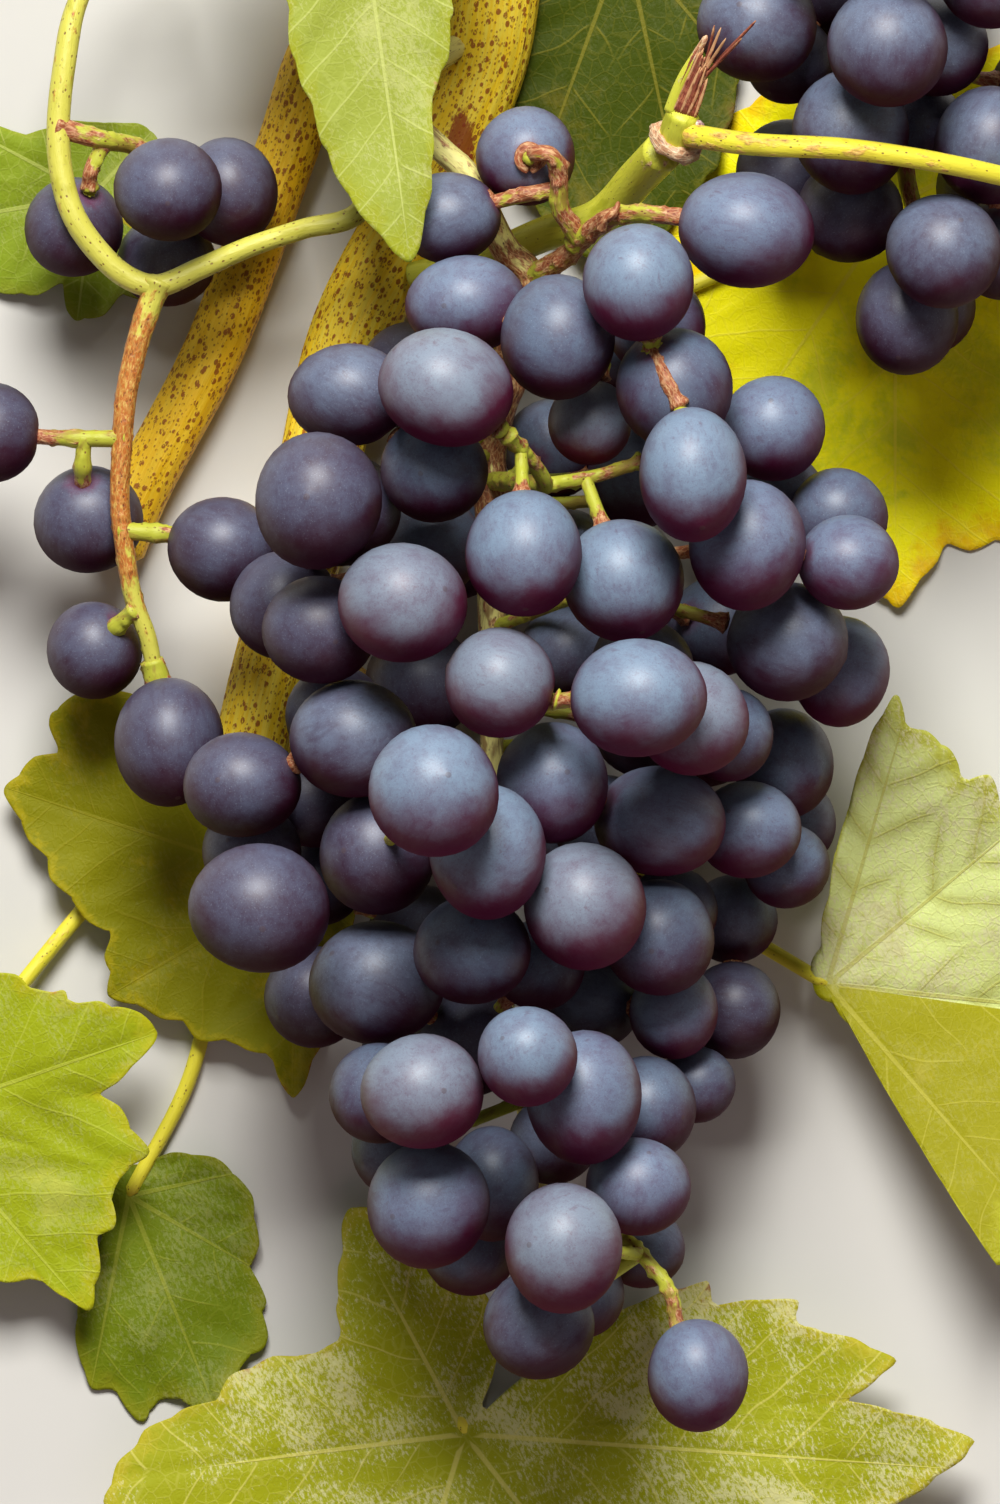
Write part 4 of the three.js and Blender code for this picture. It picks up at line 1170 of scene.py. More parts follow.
PLANS = {
    "main": BunchPlan(MAIN_LATERALS, MAIN_SINGLES, PEDUNCLE, (SIDE_SHOOT, CANE, WING_ARM)),
    "second": BunchPlan(SECOND_LATERALS, {}, SECOND_PEDUNCLE, (SIDE_SHOOT,)),
    "wing": BunchPlan(WING_LATERALS, WING_SINGLES, WING_ARM, (WING_FALL,)),
}


class Plant:
    """The settled berries of the branch and the stalks that hold them."""

    def __init__(self) -> None:
        """Settles the berries, fills the space under them and grows the stalks."""
        drawn: list[Sizes] = []
        names: list[str] = []
        owners: list[str] = []
        self.growths: dict[str, Growth] = {}
        leaf_stalks = [leaf.stem() for leaf in LEAVES.values()]
        for bunch, plan in PLANS.items():
            laterals = {
                name: replace(lateral, limbs=tuple(replace(limb, owner=name) for limb in lateral.limbs))
                for name, lateral in plan.laterals.items()
            }
            rows = {}
            for name, lateral in laterals.items():
                count = len(lateral.berries)
                rows[name] = list(range(len(drawn), len(drawn) + count))
                drawn += lateral.berries
                names += [""] * count
                owners += [name] * count
            alone = list(range(len(drawn), len(drawn) + len(plan.singles)))
            for name, row in plan.singles.items():
                drawn.append(row)
                names.append(name)
                owners.append(next((key for key, lateral in laterals.items() if name in lateral.singles), ""))
            self.growths[bunch] = Growth(laterals, plan.rachis, (*plan.beside, *leaf_stalks), rows, alone)
        berries = Berries.drawn(drawn, names, owners)
        stems = [CANE, SIDE_CANE, PEDUNCLE, SIDE_SHOOT, WING_ARM, WING_FALL, SECOND_PEDUNCLE, *leaf_stalks]
        for growth in self.growths.values():
            stems += [limb for lateral in growth.laterals.values() for limb in lateral.limbs]
        spines = [Spine.along(limb) for limb in stems]
        settle(berries, spines)
        thicket = Thicket.of(spines)
        main, second = self.growths["main"], self.growths["second"]
        shade, other_shade = berries.taken(main.all_rows()), berries.taken(second.all_rows())
        filling = fill_under(shade, other_shade, thicket, seed=7, count=20, tries=4000)
        filled = shade.with_more(filling)
        other_filling = fill_under(other_shade, filled, thicket, seed=11, count=6, tries=2000)
        self.berries = berries.with_more(filling).with_more(other_filling)
        start = len(berries.home)
        middle = start + len(filling.home)
        self._share_out(main.rows, range(start, middle))
        self._share_out(second.rows, range(middle, len(self.berries.home)))
        for growth in self.growths.values():
            growth.grow(self.berries)

    def _share_out(self, rows: dict[str, list[int]], filling: Sequence[int]) -> None:
        """Gives each filling berry to the lateral that has a berry nearest to it.

        Args:
            rows: the rows of each lateral's berries, to which they are added.
            filling: the filling's rows.
        """
        centre = self.berries.centre
        for ball in filling:
            away = {name: centre[own] - centre[ball] for name, own in rows.items()}
            gaps = {name: np.linalg.norm(ways, axis=1).min() for name, ways in away.items()}
            nearest = min(gaps, key=gaps.get)
            self.berries.owners[ball] = nearest
            rows[nearest].append(ball)


Value = Union["Wire", float]
Tint = Union["Wire", Colour]


class Wire:
    """A value on its way between shader nodes, with the usual operators."""

    def __init__(self, nodes: "Nodes", socket: bpy.types.NodeSocket) -> None:
        """Wraps an output socket."""
        self.nodes = nodes
        self.socket = socket

    def _math(self, operation: str, *values: Value) -> "Wire":
        """A Math node over some values."""
        return self.nodes.add("ShaderNodeMath", {"operation": operation}, dict(enumerate(values)))

    def __add__(self, other: Value) -> "Wire":
        """The sum."""
        return self._math("ADD", self, other)

    def __radd__(self, other: Value) -> "Wire":
        """The sum, the other way round."""
        return self._math("ADD", other, self)

    def __sub__(self, other: Value) -> "Wire":
        """The difference."""
        return self._math("SUBTRACT", self, other)

    def __rsub__(self, other: Value) -> "Wire":
        """The difference, the other way round."""
        return self._math("SUBTRACT", other, self)

    def __mul__(self, other: Value) -> "Wire":
        """The product."""
        return self._math("MULTIPLY", self, other)

    def __rmul__(self, other: Value) -> "Wire":
        """The product, the other way round."""
        return self._math("MULTIPLY", other, self)

    def __truediv__(self, other: Value) -> "Wire":
        """The quotient."""
        return self._math("DIVIDE", self, other)

    def fraction(self) -> "Wire":
        """What is left over a whole number."""
        return self._math("FRACT", self)

    def size(self) -> "Wire":
        """The value without its sign."""
        return self._math("ABSOLUTE", self)

    def at_least(self, other: Value) -> "Wire":
        """The larger of two values."""
        return self._math("MAXIMUM", self, other)

    def rise(self, low: Value, high: Value) -> "Wire":
        """A smooth step from 0 at the one value to 1 at the other, which may be the lower."""
        settings = {"interpolation_type": "SMOOTHSTEP"}
        return self.nodes.add("ShaderNodeMapRange", settings, {0: self, 1: low, 2: high})


class Nodes:
    """The shader nodes of one material."""

    def __init__(self, name: str) -> None:
        """Starts an empty material.

        Args:
            name: of the material.
        """
        self.material = bpy.data.materials.new(name)
        self.material.use_nodes = True
        self.tree = self.material.node_tree
        self.tree.nodes.clear()

    def add(
        self,
        kind: str,
        settings: Optional[Mapping[str, object]] = None,
        inputs: Optional[Mapping[Union[str, int], object]] = None,
        output: Union[str, int] = 0,
    ) -> Wire:
        """A node of any type.

        Args:
            kind: the node's type.
            settings: its settings, set first.
            inputs: the values or wires of its inputs, by name or number; a colour has its screen values.
            output: which output is handed on.

        Returns:
            That output.
        """
        node = self.tree.nodes.new(kind)
        for name, setting in (settings or {}).items():
            setattr(node, name, setting)
        for name, value in (inputs or {}).items():
            socket = node.inputs[name]
            if isinstance(value, Wire):
                self.tree.links.new(value.socket, socket)
            else:
                socket.default_value = (*screen(value), 1.0) if socket.type == "RGBA" else value
        return Wire(self, node.outputs[output])

    def mark(self, name: str, vector: bool = False) -> Wire:
        """A mark of the mesh, as a number or a vector."""
        return self.add("ShaderNodeAttribute", {"attribute_name": name}, output="Vector" if vector else "Fac")

    def parts(self, vector: Wire) -> tuple[Wire, ...]:
        """The three parts of a vector."""
        first = self.add("ShaderNodeSeparateXYZ", inputs={0: vector})
        return tuple(Wire(self, output) for output in first.socket.node.outputs)

    def stretched(self, vector: Wire, x: float = 1, y: float = 1, z: float = 1) -> Wire:
        """A vector times a factor in each direction, which draws a pattern out where it is under 1."""
        return self.add("ShaderNodeVectorMath", {"operation": "MULTIPLY"}, {0: vector, 1: (x, y, z)})

    def noise(
        self, place: Wire, scale: float, detail: float = 3, rough: float = 0.6, bend: float = 0
    ) -> Wire:
        """Noise from 0 to 1, of so many swells to the millimetre."""
        inputs = {"Vector": place, "Scale": scale, "Detail": detail, "Roughness": rough, "Distortion": bend}
        return self.add("ShaderNodeTexNoise", inputs=inputs)

    def cells(self, place: Wire, scale: float, edges: bool = False) -> Wire:
        """The distance from the nearest of scattered points, or from the edges of their cells."""
        settings = {"feature": "DISTANCE_TO_EDGE" if edges else "F1"}
        return self.add("ShaderNodeTexVoronoi", settings, {"Vector": place, "Scale": scale}, "Distance")

    def mix(self, one: Tint, other: Tint, share: Value) -> Wire:
        """Two colours mixed."""
        return self.add("ShaderNodeMix", {"data_type": "RGBA"}, {0: share, 6: one, 7: other}, 2)

    def layered(self, colour: Tint, *layers: tuple[Tint, Value]) -> Tint:
        """A colour with others laid over it in turn, each by its share.

        Args:
            colour: the first colour.
            layers: each of the others with its share.

        Returns:
            The colour of them all.
        """
        for other, share in layers:
            colour = self.mix(colour, other, share)
        return colour

    def bump(self, height: Wire, strength: float, depth: float) -> Wire:
        """A normal tilted by a height, whose depth is in millimetres."""
        inputs = {"Strength": strength, "Distance": depth * MM, "Height": height}
        return self.add("ShaderNodeBump", inputs=inputs)

    def finish(
        self, colour: Tint, rough: Value, normal: Optional[Wire] = None, gloss: float = 0.5, **coat: Value
    ) -> bpy.types.Material:
        """The principled surface.

        Args:
            colour: its base colour.
            rough: its roughness.
            normal: its normal.
            gloss: its specular level.
            coat: the weight, roughness and index of its clear coat.

        Returns:
            The material.
        """
        inputs = {"Base Color": colour, "Roughness": rough, "Specular IOR Level": gloss}
        inputs.update({f"Coat {name}": value for name, value in coat.items()})
        if normal is not None:
            inputs["Normal"] = normal
        surface = self.add("ShaderNodeBsdfPrincipled", inputs=inputs)
        output = self.tree.nodes.new("ShaderNodeOutputMaterial")
        self.tree.links.new(surface.socket, output.inputs["Surface"])
        return self.material


def screen(colour: Colour) -> Point:
    """A colour as linear light, from its screen values out of 255: the power 2.4 over a straight foot."""
    shares = (channel / 255 for channel in colour)
    return tuple(share / 12.92 if share <= 0.04045 else ((share + 0.055) / 1.055) ** 2.4 for share in shares)


@dataclass(frozen=True)
class BerrySkin:
    """A dark purple skin under a dusty slate-blue wax.

    The wax is thinner in soft clouds and streaks. Light and shade are also painted by how the skin faces the
    key light: the bloom and the dust are lighter and the coat glossier on the lit side, and the far side is
    painted dark with the skin's colour as painted shade.

    Attributes:
        name: of the material.
        bloom: the colour of the wax where it is thick.
        veil: its colour where it is thin.
        skin: the colour of the skin under the wax, which also serves as the painted shade.
        cover: how thick the wax is, from 0 to 1.
    """

    name: str
    bloom: Colour
    veil: Colour
    skin: Colour
    cover: float
    DUST: ClassVar[Colour] = (170, 184, 198)
    DIMPLE: ClassVar[Colour] = (104, 34, 72)
    SCAR: ClassVar[Colour] = (84, 62, 58)

    def material(self) -> bpy.types.Material:
        """Makes the material from noise on the berry's own coordinates, its angle from the stalk's end, and
        its facing to the key light, from which light and shade are painted.

        Returns:
            The material.
        """
        nodes = Nodes(self.name)
        place, pole, facing_key_light = nodes.mark("skin", vector=True), nodes.mark("pole"), nodes.mark("facing_key_light")
        streaks = nodes.noise(nodes.stretched(place, z=0.35), 0.75, 4, 0.65, 0.5)
        clouds = nodes.noise(place, 0.11, 2, 0.5)
        grain = nodes.noise(place, 3.4, 2, 0.7)
        blots = nodes.noise(place, 0.24, 4, 0.65)
        # The bloom is painted lighter on the side that faces the key light: painted light on top of the wax's
        # real clouds and streaks.
        wax = (streaks - 0.5) * 1.3 + (clouds - 0.5) * 1.3 + facing_key_light * 0.5 + self.cover
        # Painted shade: the side turned from the key light is covered with the skin's dark colour, broken up
        # by noise.
        painted_shade_and_tone = (facing_key_light + (clouds - 0.5) * 0.8 + (blots - 0.5) * 0.5).rise(0.7, -0.04)
        colour = nodes.layered(
            self.veil,
            (self.bloom, wax),
            (self.veil, blots.rise(0.45, 0.75) * 0.35),
            (self.skin, streaks.rise(0.54, 0.76) * 0.42),
            (self.skin, painted_shade_and_tone * 0.97),
            # Real dust, painted thinner where the shade is painted.
            (self.DUST, grain.rise(0.58, 0.76) * (0.26 - painted_shade_and_tone * 0.24)),
            (self.skin, grain.rise(0.46, 0.3) * 0.28),
            (self.DIMPLE, (pole + (streaks - 0.5) * 0.3).rise(0.46, 0.16) * 0.6),
            (self.SCAR, pole.rise(3.085, 3.1) * 0.4),
        )
        normal = nodes.bump(streaks * 0.4 + grain * 0.6, 0.2, 0.08)
        # Painted highlight: the coat's gloss is weighted by facing to the key light, so it shows on the lit
        # side and fades on the shaded one.
        coat = {"Weight": (facing_key_light + (streaks - 0.5) * 0.3).rise(-0.3, 0.75), "Roughness": 0.46, "IOR": 1.52}
        return nodes.finish(colour, 0.55 + grain * 0.12, normal, 0.08, **coat)


@dataclass(frozen=True)
class StemSkin:
    """A stem's skin: green where it is young, netted with corky red-brown where it has reddened, and specked.

    Attributes:
        name: of the material.
        base: the colour of the young skin.
        shade: the colour of its broad patches.
        red: the colour where it has reddened.
        seam: the colour of the net's pale lines.
        speck: the colour of the specks.
        patches: how much of it the patches take, from 0 to 1.
        specks: how large the specks are, from 0 to 1.
        netted: how plain the net is.
        rough: the roughness.
    """

    name: str
    base: Colour
    shade: Colour
    red: Colour
    seam: Colour
    speck: Colour
    patches: float = 0.4
    specks: float = 0.3
    netted: float = 0.7
    rough: float = 0.5

    def material(self) -> bpy.types.Material:
        """Makes the material from noise and cells on the stem's own coordinates and its blush.

        Returns:
            The material.
        """
        nodes = Nodes(self.name)
        place, blush = nodes.mark("bark", vector=True), nodes.mark("blush")
        long = nodes.stretched(place, 0.3)
        broad = nodes.noise(long, 0.35, bend=0.5)
        lumps = nodes.noise(nodes.stretched(place, 0.45), 0.6)
        mottle = nodes.noise(nodes.stretched(place, 0.4), 1.9, 4, 0.65)
        fine = nodes.noise(long, 1.8, 4, 0.65)
        lines = nodes.noise(nodes.stretched(place, 0.12), 3.2, 2)
        net = nodes.cells(nodes.stretched(place, 0.5), 1.25, edges=True)
        seams = (net + (fine - 0.5) * 0.3).rise(0.16, 0.0) * self.netted
        patch = broad.rise(0.66 - 0.3 * self.patches, 0.78 - 0.3 * self.patches)
        reddened = (blush * 1.3 + lumps * 1.6 - 1.15).rise(0.0, 0.25)
        size = 0.1 + 0.32 * self.specks
        spots = nodes.cells(nodes.stretched(place, 0.7), 1.15).rise(size, size * 0.6)
        spots = spots * fine.rise(0.42, 0.56)
        corky = nodes.layered(
            self.red,
            (self.speck, mottle.rise(0.5, 0.34) * 0.7),
            (self.seam, mottle.rise(0.52, 0.64) * 0.85),
            (self.seam, seams),
        )
        colour = nodes.layered(
            self.base,
            (self.shade, patch * 0.75),
            (self.shade, lines.rise(0.56, 0.74) * 0.35),
            (corky, reddened * 0.95),
            (self.speck, spots * 0.85),
        )
        height = fine * 0.5 + lines * 0.3 + (seams * 0.5 + mottle * 0.8) * reddened - spots * 0.25
        return nodes.finish(colour, self.rough + patch * 0.1, nodes.bump(height, 0.6, 0.3), 0.4)


@dataclass(frozen=True)
class CaneSkin:
    """Ripened yellow bark with fine dark red-brown dots, brown streaks along it and a few large patches.

    Attributes:
        name: of the material.
        base: the colour of the bark.
        pale: its colour on the lighter streaks.
        brown: the colour of the dots and patches.
        stains: the places of the large patches in millimetres, each with its reach along and across.
    """

    name: str
    base: Colour
    pale: Colour
    brown: Colour
    stains: Rows = ()

    def material(self) -> bpy.types.Material:
        """Makes the material from noise and cells on the cane's own coordinates, drawn out along it.

        Returns:
            The material.
        """
        nodes = Nodes(self.name)
        place, where = nodes.mark("bark", vector=True), nodes.mark("place", vector=True)
        broad = nodes.noise(nodes.stretched(place, 0.25), 0.22, bend=0.4)
        lines = nodes.noise(nodes.stretched(place, 0.06), 1.6, 4, 0.65)
        fine = nodes.noise(nodes.stretched(place, 0.4), 2.2, 3, 0.7)
        large = nodes.cells(nodes.stretched(place, 0.75), 0.8).rise(0.38, 0.28) * fine.rise(0.38, 0.48)
        small = nodes.cells(nodes.stretched(place, 0.7), 1.7).rise(0.36, 0.24) * fine.rise(0.4, 0.5)
        dots = large.at_least(small * 0.8)
        ragged = (fine - 0.5) * 1.1 + (lines - 0.5) * 0.9
        colour = nodes.layered(
            self.base,
            (self.pale, lines.rise(0.4, 0.62) * 0.8),
            (self.brown, broad.rise(0.6, 0.8) * 0.4),
            (self.brown, lines.rise(0.38, 0.26) * 0.3),
            (self.brown, dots * 0.85),
        )
        for x, y, long, wide in self.stains:
            away = nodes.add("ShaderNodeVectorMath", {"operation": "SUBTRACT"}, {0: where, 1: (x, y, 0)})
            shrunk = nodes.stretched(away, 1 / wide, 1 / long, 0)
            far = nodes.add("ShaderNodeVectorMath", {"operation": "LENGTH"}, {0: shrunk}, "Value")
            colour = nodes.mix(colour, self.brown, (far + ragged).rise(1.15, 0.75) * 0.9)
        normal = nodes.bump(lines * 0.8 + fine * 0.25 + dots * 0.3, 0.5, 0.35)
        return nodes.finish(colour, 0.5 + broad * 0.15, normal, 0.4)


@dataclass(frozen=True)
class LeafSkin:
    """A leaf's colours, with main veins, side veins and a fine net between them.

    Attributes:
        base: the colour of the blade.
        blotch: the colour of its broad blotches.
        vein: the colour of its veins.
        edge: the colour of its margin.
        tip: the colour of dead spots at its margin.
        blotched: how much of it the blotches take, from 0 to 1.
        edged: how far the margin's colour comes in, as a share of the reach.
        half: the colour of the half on the left of the midrib, or the base where there is none.
        flecks: how plain the pale flecks between the veins are.
        vein_strength: how plain the veins are.
    """

    base: Colour
    blotch: Colour
    vein: Colour
    edge: Colour
    tip: Colour
    blotched: float = 0.4
    edged: float = 0.15
    half: Optional[Colour] = None
    flecks: float = 0.2
    vein_strength: float = 0.8
    BLEACHED: ClassVar[Colour] = (220, 216, 168)

    def material(self, name: str) -> bpy.types.Material:
        """Makes the material: side veins lie where along less its lean is a whole number of spacings.

        Args:
            name: of the material.

        Returns:
            The material.
        """
        nodes = Nodes(name)
        blade = nodes.mark("blade", vector=True)
        along, aside, share = nodes.parts(nodes.mark("vein", vector=True))
        side, apart = nodes.mark("side"), nodes.mark("apart")
        broad = nodes.noise(blade, 0.05, 4, bend=0.5)
        fine = nodes.noise(blade, 0.5, 4, 0.65)
        warp = nodes.noise(blade, 0.035, 2, 0.5)
        net = nodes.cells(blade, 0.42, edges=True)
        finer = nodes.cells(blade, 1.1, edges=True)
        taken = 0.72 - 0.32 * self.blotched
        patch = (broad * 0.8 + fine * 0.2).rise(taken - 0.05, taken + 0.09)
        near_vein = (along - aside * VEIN_LEAN + warp * 12.0) / VEIN_SPACING
        gap = (near_vein.fraction() - 0.5).size() * VEIN_SPACING
        side_vein = gap.rise(0.32, 0.08) * aside.rise(0.2, 1.0) * apart * 0.75
        halo = gap.rise(2.8, 0.4) * apart
        main_vein = (aside / (0.12 + 0.42 * (1 - share).at_least(0.0))).rise(1.1, 0.6)
        lines = net.rise(0.07, 0.02) * 0.5
        edging = (share + (fine - 0.5) * 0.2).rise(1 - self.edged, 1.0)
        about = {"rotation_type": "Z_AXIS"}
        turned = nodes.add("ShaderNodeVectorRotate", about, {"Vector": blade, "Angle": -0.45})
        dashes = nodes.noise(nodes.stretched(turned, 1.4, 0.6), 1.25, 6, 0.75)
        bleached = (dashes + (broad - 0.5) * 0.8 + side * 0.03).rise(0.52, 0.63) * self.flecks
        dead = (share + (broad - 0.5) * 0.7 + (fine - 0.5) * 0.3).rise(1.06, 1.14)
        colour: Tint = self.base
        if self.half is not None:
            colour = nodes.mix(self.base, self.half, side)
            bleached = bleached * (side * 0.9 + 0.1)
        colour = nodes.layered(
            colour,
            (self.blotch, patch * 0.85),
            (self.edge, edging * 0.85),
            (self.base, halo * 0.35),
            (self.BLEACHED, bleached),
            (self.vein, lines * 0.45 * self.vein_strength),
            (self.vein, side_vein.at_least(main_vein) * self.vein_strength),
            (self.tip, dead * 0.9),
        )
        height = main_vein * 0.7 + side_vein * 0.5 + lines * 0.4 + finer.rise(0.0, 0.3) * 0.2 + fine * 0.2
        return nodes.finish(colour, 0.55 + fine * 0.15, nodes.bump(height, 0.45, 0.3), 0.16)


def berry_skins(berries: Berries, rows: Array, axes: Array, slots: Array, grid: tuple[int, int]) -> Surface:
    """Berries: each a ball whose poles are its stalk's end and its far end.

    A corner lies in the direction -axis cos(t) + (across cos(p) + up sin(p)) sin(t), at the ellipsoid's
    reach times a profile, which sinks by a bell of t at the stalk's end, rises by a narrow bell to the far
    end's scar, and swells by three low seeded waves.

    Args:
        berries: the berries.
        rows: which of them are made.
        axes: the way from each one's stalk to its centre.
        slots: the material of each.
        grid: corners from end to end and round.

    Returns:
        The skins, with their marks skin (place in the berry), pole (angle from the stalk's end) and a third,
        the cosine of the angle from the key light's side, by which light and shade are painted on the skins.
    """
    share = np.linspace(0, 1, grid[0])
    t = (0.05 + (np.pi - 0.085) * (share - 0.05 * np.sin(FULL_TURN * share)))[None, :, None]
    p = np.linspace(0, FULL_TURN, grid[1], endpoint=False)[None, None]
    axes = unit(axes)
    across, up = sideways(axes)
    axes, across, up = (vectors[:, None, None] for vectors in (axes, across, up))
    angle, turn = t[..., None], p[..., None]
    away = -axes * np.cos(angle) + (across * np.cos(turn) + up * np.sin(turn)) * np.sin(angle)
    reach = berries.reach(rows[:, None], away.reshape(len(rows), -1, 3)).reshape(away.shape[:3])
    phase = np.random.default_rng(5).uniform(0, FULL_TURN, (4, len(rows), 1, 1))
    dimple = 0.05 * np.exp(-((t / 0.24) ** 2))
    scar = 0.022 * np.exp(-(((np.pi - t) / 0.07) ** 2))
    lumps = 0.011 * np.sin(2 * p + phase[0]) * np.sin(t) + 0.009 * np.sin(3 * p + phase[1]) * np.sin(t) ** 2
    lumps = lumps + 0.008 * np.sin(3 * t + phase[2])
    corners = berries.centre[rows][:, None, None] + away * (reach * (1 - dimple + scar + lumps))[..., None]
    local = (np.sin(t) * np.cos(p) * reach, np.sin(t) * np.sin(p) * reach, -np.cos(t) * reach)
    offset = (rows[:, None] * (37.0, 17.0, 53.0))[:, None, None]
    marks = {
        "skin": np.stack(local, -1) + offset,
        "pole": np.broadcast_to(t, reach.shape),
        # The cosine to the key light, from which the berries' light and shade are painted.
        "facing_key_light": away @ unit(np.array(KEY_LIGHT_SIDE)),
    }
    ends = np.stack([corners[:, 0].mean(axis=1), corners[:, -1].mean(axis=1)], 1)
    return closed_skins(corners, ends, marks, slots)


@dataclass
class LeafBlade:
    """The blade and the stalk of one leaf.

    Attributes:
        shape: its sizes.
        seed: of its teeth and puckers.
        veins: the bearings of its main veins, where they aren't at its tips.
        lift: how far the blade is held up over its own stalk.
        columns: corners round it.
        rows: corners from its middle to its rim, on each side.
        thickness: of the blade.
        tooth: the height of its teeth.
        tooth_pitch: the distance from tooth to tooth along the rim.
        rounding: the length over which the rim's corners are smoothed.
        blush: how far the stalk has reddened, from foot to tip.
    """

    shape: LeafShape
    seed: int
    veins: Sizes = ()
    lift: float = 0.0
    columns: int = 480
    rows: int = 16
    thickness: float = 0.5
    tooth: float = 1.4
    tooth_pitch: float = 8.0
    rounding: float = 5.0
    blush: Sizes = (0.35, 0.05)

    def _rim(self) -> tuple[Array, Array]:
        """The bearings and reaches of the rim, evenly spaced along it.

        Between a notch and a tip the reach runs through the swell half-way, and teeth stand on it: each a
        peak of the distance along the rim, of seeded height.

        Returns:
            Bearings in radians and reaches.
        """
        keys = sorted((bearing % 360, far) for bearing, far in self.shape.rim)
        keys.append((keys[0][0] + 360, keys[0][1]))
        bearings, reaches = np.array(keys, float).T
        low, high = np.minimum(reaches[1:], reaches[:-1]), np.maximum(reaches[1:], reaches[:-1])
        swollen = low + (high - low) * 0.55
        all_bearings = np.concatenate([bearings, (bearings[1:] + bearings[:-1]) / 2])
        order = np.argsort(all_bearings, kind="stable")
        all_bearings, all_reaches = all_bearings[order], np.concatenate([reaches, swollen])[order]
        fine = np.linspace(all_bearings[0], all_bearings[-1], 4001)
        far = np.interp(fine, all_bearings, all_reaches)
        radians = np.radians(fine)
        x, y = far * np.cos(radians), far * np.sin(radians)
        walked = np.concatenate([[0], np.cumsum(np.hypot(np.diff(x), np.diff(y)))])
        even = np.linspace(0, walked[-1], self.columns, endpoint=False)
        bearing, reach = np.interp(even, walked, radians), np.interp(even, walked, far)
        width = max(3, int(self.rounding / walked[-1] * self.columns))
        weights = np.hanning(width + 2)[1:-1]
        wrapped = np.concatenate([reach[-width:], reach, reach[:width]])
        reach = np.convolve(wrapped, weights / weights.sum(), "same")[width:-width]
        teeth = max(8, int(walked[-1] / self.tooth_pitch))
        place = even / walked[-1] * teeth
        number = place.astype(int) % teeth
        random = np.random.default_rng(self.seed)
        heights = random.uniform(0.45, 1.15, teeth)[number]
        slant = random.uniform(0.35, 0.65, teeth)[number]
        share = place % 1
        peak = np.where(share < slant, share / slant, (1 - share) / (1 - slant))
        curved = 0.55 * peak + 0.45 * np.sin(np.pi * peak / 2)
        return bearing, reach + self.tooth * heights * (curved - 0.5) * np.clip(reach / 25, 0.2, 1)

    def _sidelong(self, x: Array, y: Array) -> Array:
        """How far each corner lies to the left of the midrib."""
        midrib = np.radians(self.shape.heading)
        return y * np.cos(midrib) - x * np.sin(midrib)

    def _height(self, x: Array, y: Array, share: Array, along: Array, aside: Array) -> Array:
        """The height over the stalk's end: folded, pitched and waved, puckered between its veins.

        Args:
            x: place from the stalk's end.
            y: place from the stalk's end.
            share: of the way to the rim.
            along: distance along the nearest main vein.
            aside: distance from it.

        Returns:
            The sum of a fold by the distance from the midrib, a slope along it, a wave, a cosine of the side
            veins, a groove at the main ones, two ruffles of sines, and a curl at the rim.
        """
        shape = self.shape
        midrib = np.radians(shape.heading)
        forward = x * np.cos(midrib) + y * np.sin(midrib)
        sidelong = self._sidelong(x, y)
        slope = np.tan(np.radians(shape.pitch))
        swing = np.sin(forward / 9) * np.cos(sidelong / 7)
        height = np.abs(sidelong) * shape.fold + forward * slope + swing * shape.wave
        phase = np.random.default_rng(self.seed + 100).uniform(0, 6, 4)
        pucker = np.cos((along - VEIN_LEAN * aside) / VEIN_SPACING * FULL_TURN) * np.clip(aside / 4, 0, 1)
        height = height + 0.28 * pucker * np.clip((1 - share) * 5, 0, 1) - 0.3 * np.exp(-((aside / 1.2) ** 2))
        ruffle = np.sin(x / 3.1 + phase[0]) * np.sin(y / 3.7 + phase[1])
        ruffle = ruffle + np.sin(x / 5.3 - y / 4.1 + phase[2])
        return height + 0.22 * ruffle + 0.9 * share**6 * np.sin(x / 6 + y / 5 + phase[3])

    def _veins(self, x: Array, y: Array) -> tuple[Array, Array, Array]:
        """Where each corner lies by its nearest main vein.

        A main vein runs straight to each of the five furthest tips that are far enough apart, or where the
        leaf has bearings of its own for them, along those.

        Args:
            x: place from the stalk's end.
            y: place from the stalk's end.

        Returns:
            The distance along the vein, the distance from it, and how far the next vein is beyond that, from
            0 where both are as near to 1 where it is 4 mm further.
        """
        most, least_apart, clear, beyond = 5, 32, 4, 99.0
        tips = list(self.veins)
        if not tips:
            for _, bearing in sorted(((far, bearing) for bearing, far in self.shape.rim), reverse=True):
                apart = [abs((bearing - tip + 180) % 360 - 180) for tip in tips]
                if len(tips) < most and min(apart, default=180) > least_apart:
                    tips.append(bearing)
        bearings = np.radians(tips)
        along = x[..., None] * np.cos(bearings) + y[..., None] * np.sin(bearings)
        aside = np.abs(y[..., None] * np.cos(bearings) - x[..., None] * np.sin(bearings))
        away = np.where(along > 0, aside, np.hypot(along, aside))
        along = np.take_along_axis(along, away.argmin(axis=-1)[..., None], -1)[..., 0]
        ordered = np.sort(np.concatenate([away, np.full_like(away[..., :1], beyond)], -1), axis=-1)
        return along, ordered[..., 0], np.clip((ordered[..., 1] - ordered[..., 0]) / clear, 0, 1)

    def surface(self) -> Surface:
        """The blade: the underside from its middle to the rim, then the upper side back to its middle.

        Returns:
            The blade in its first material and its stalk in its second, with their marks.
        """
        shape = self.shape
        bearing, reach = self._rim()
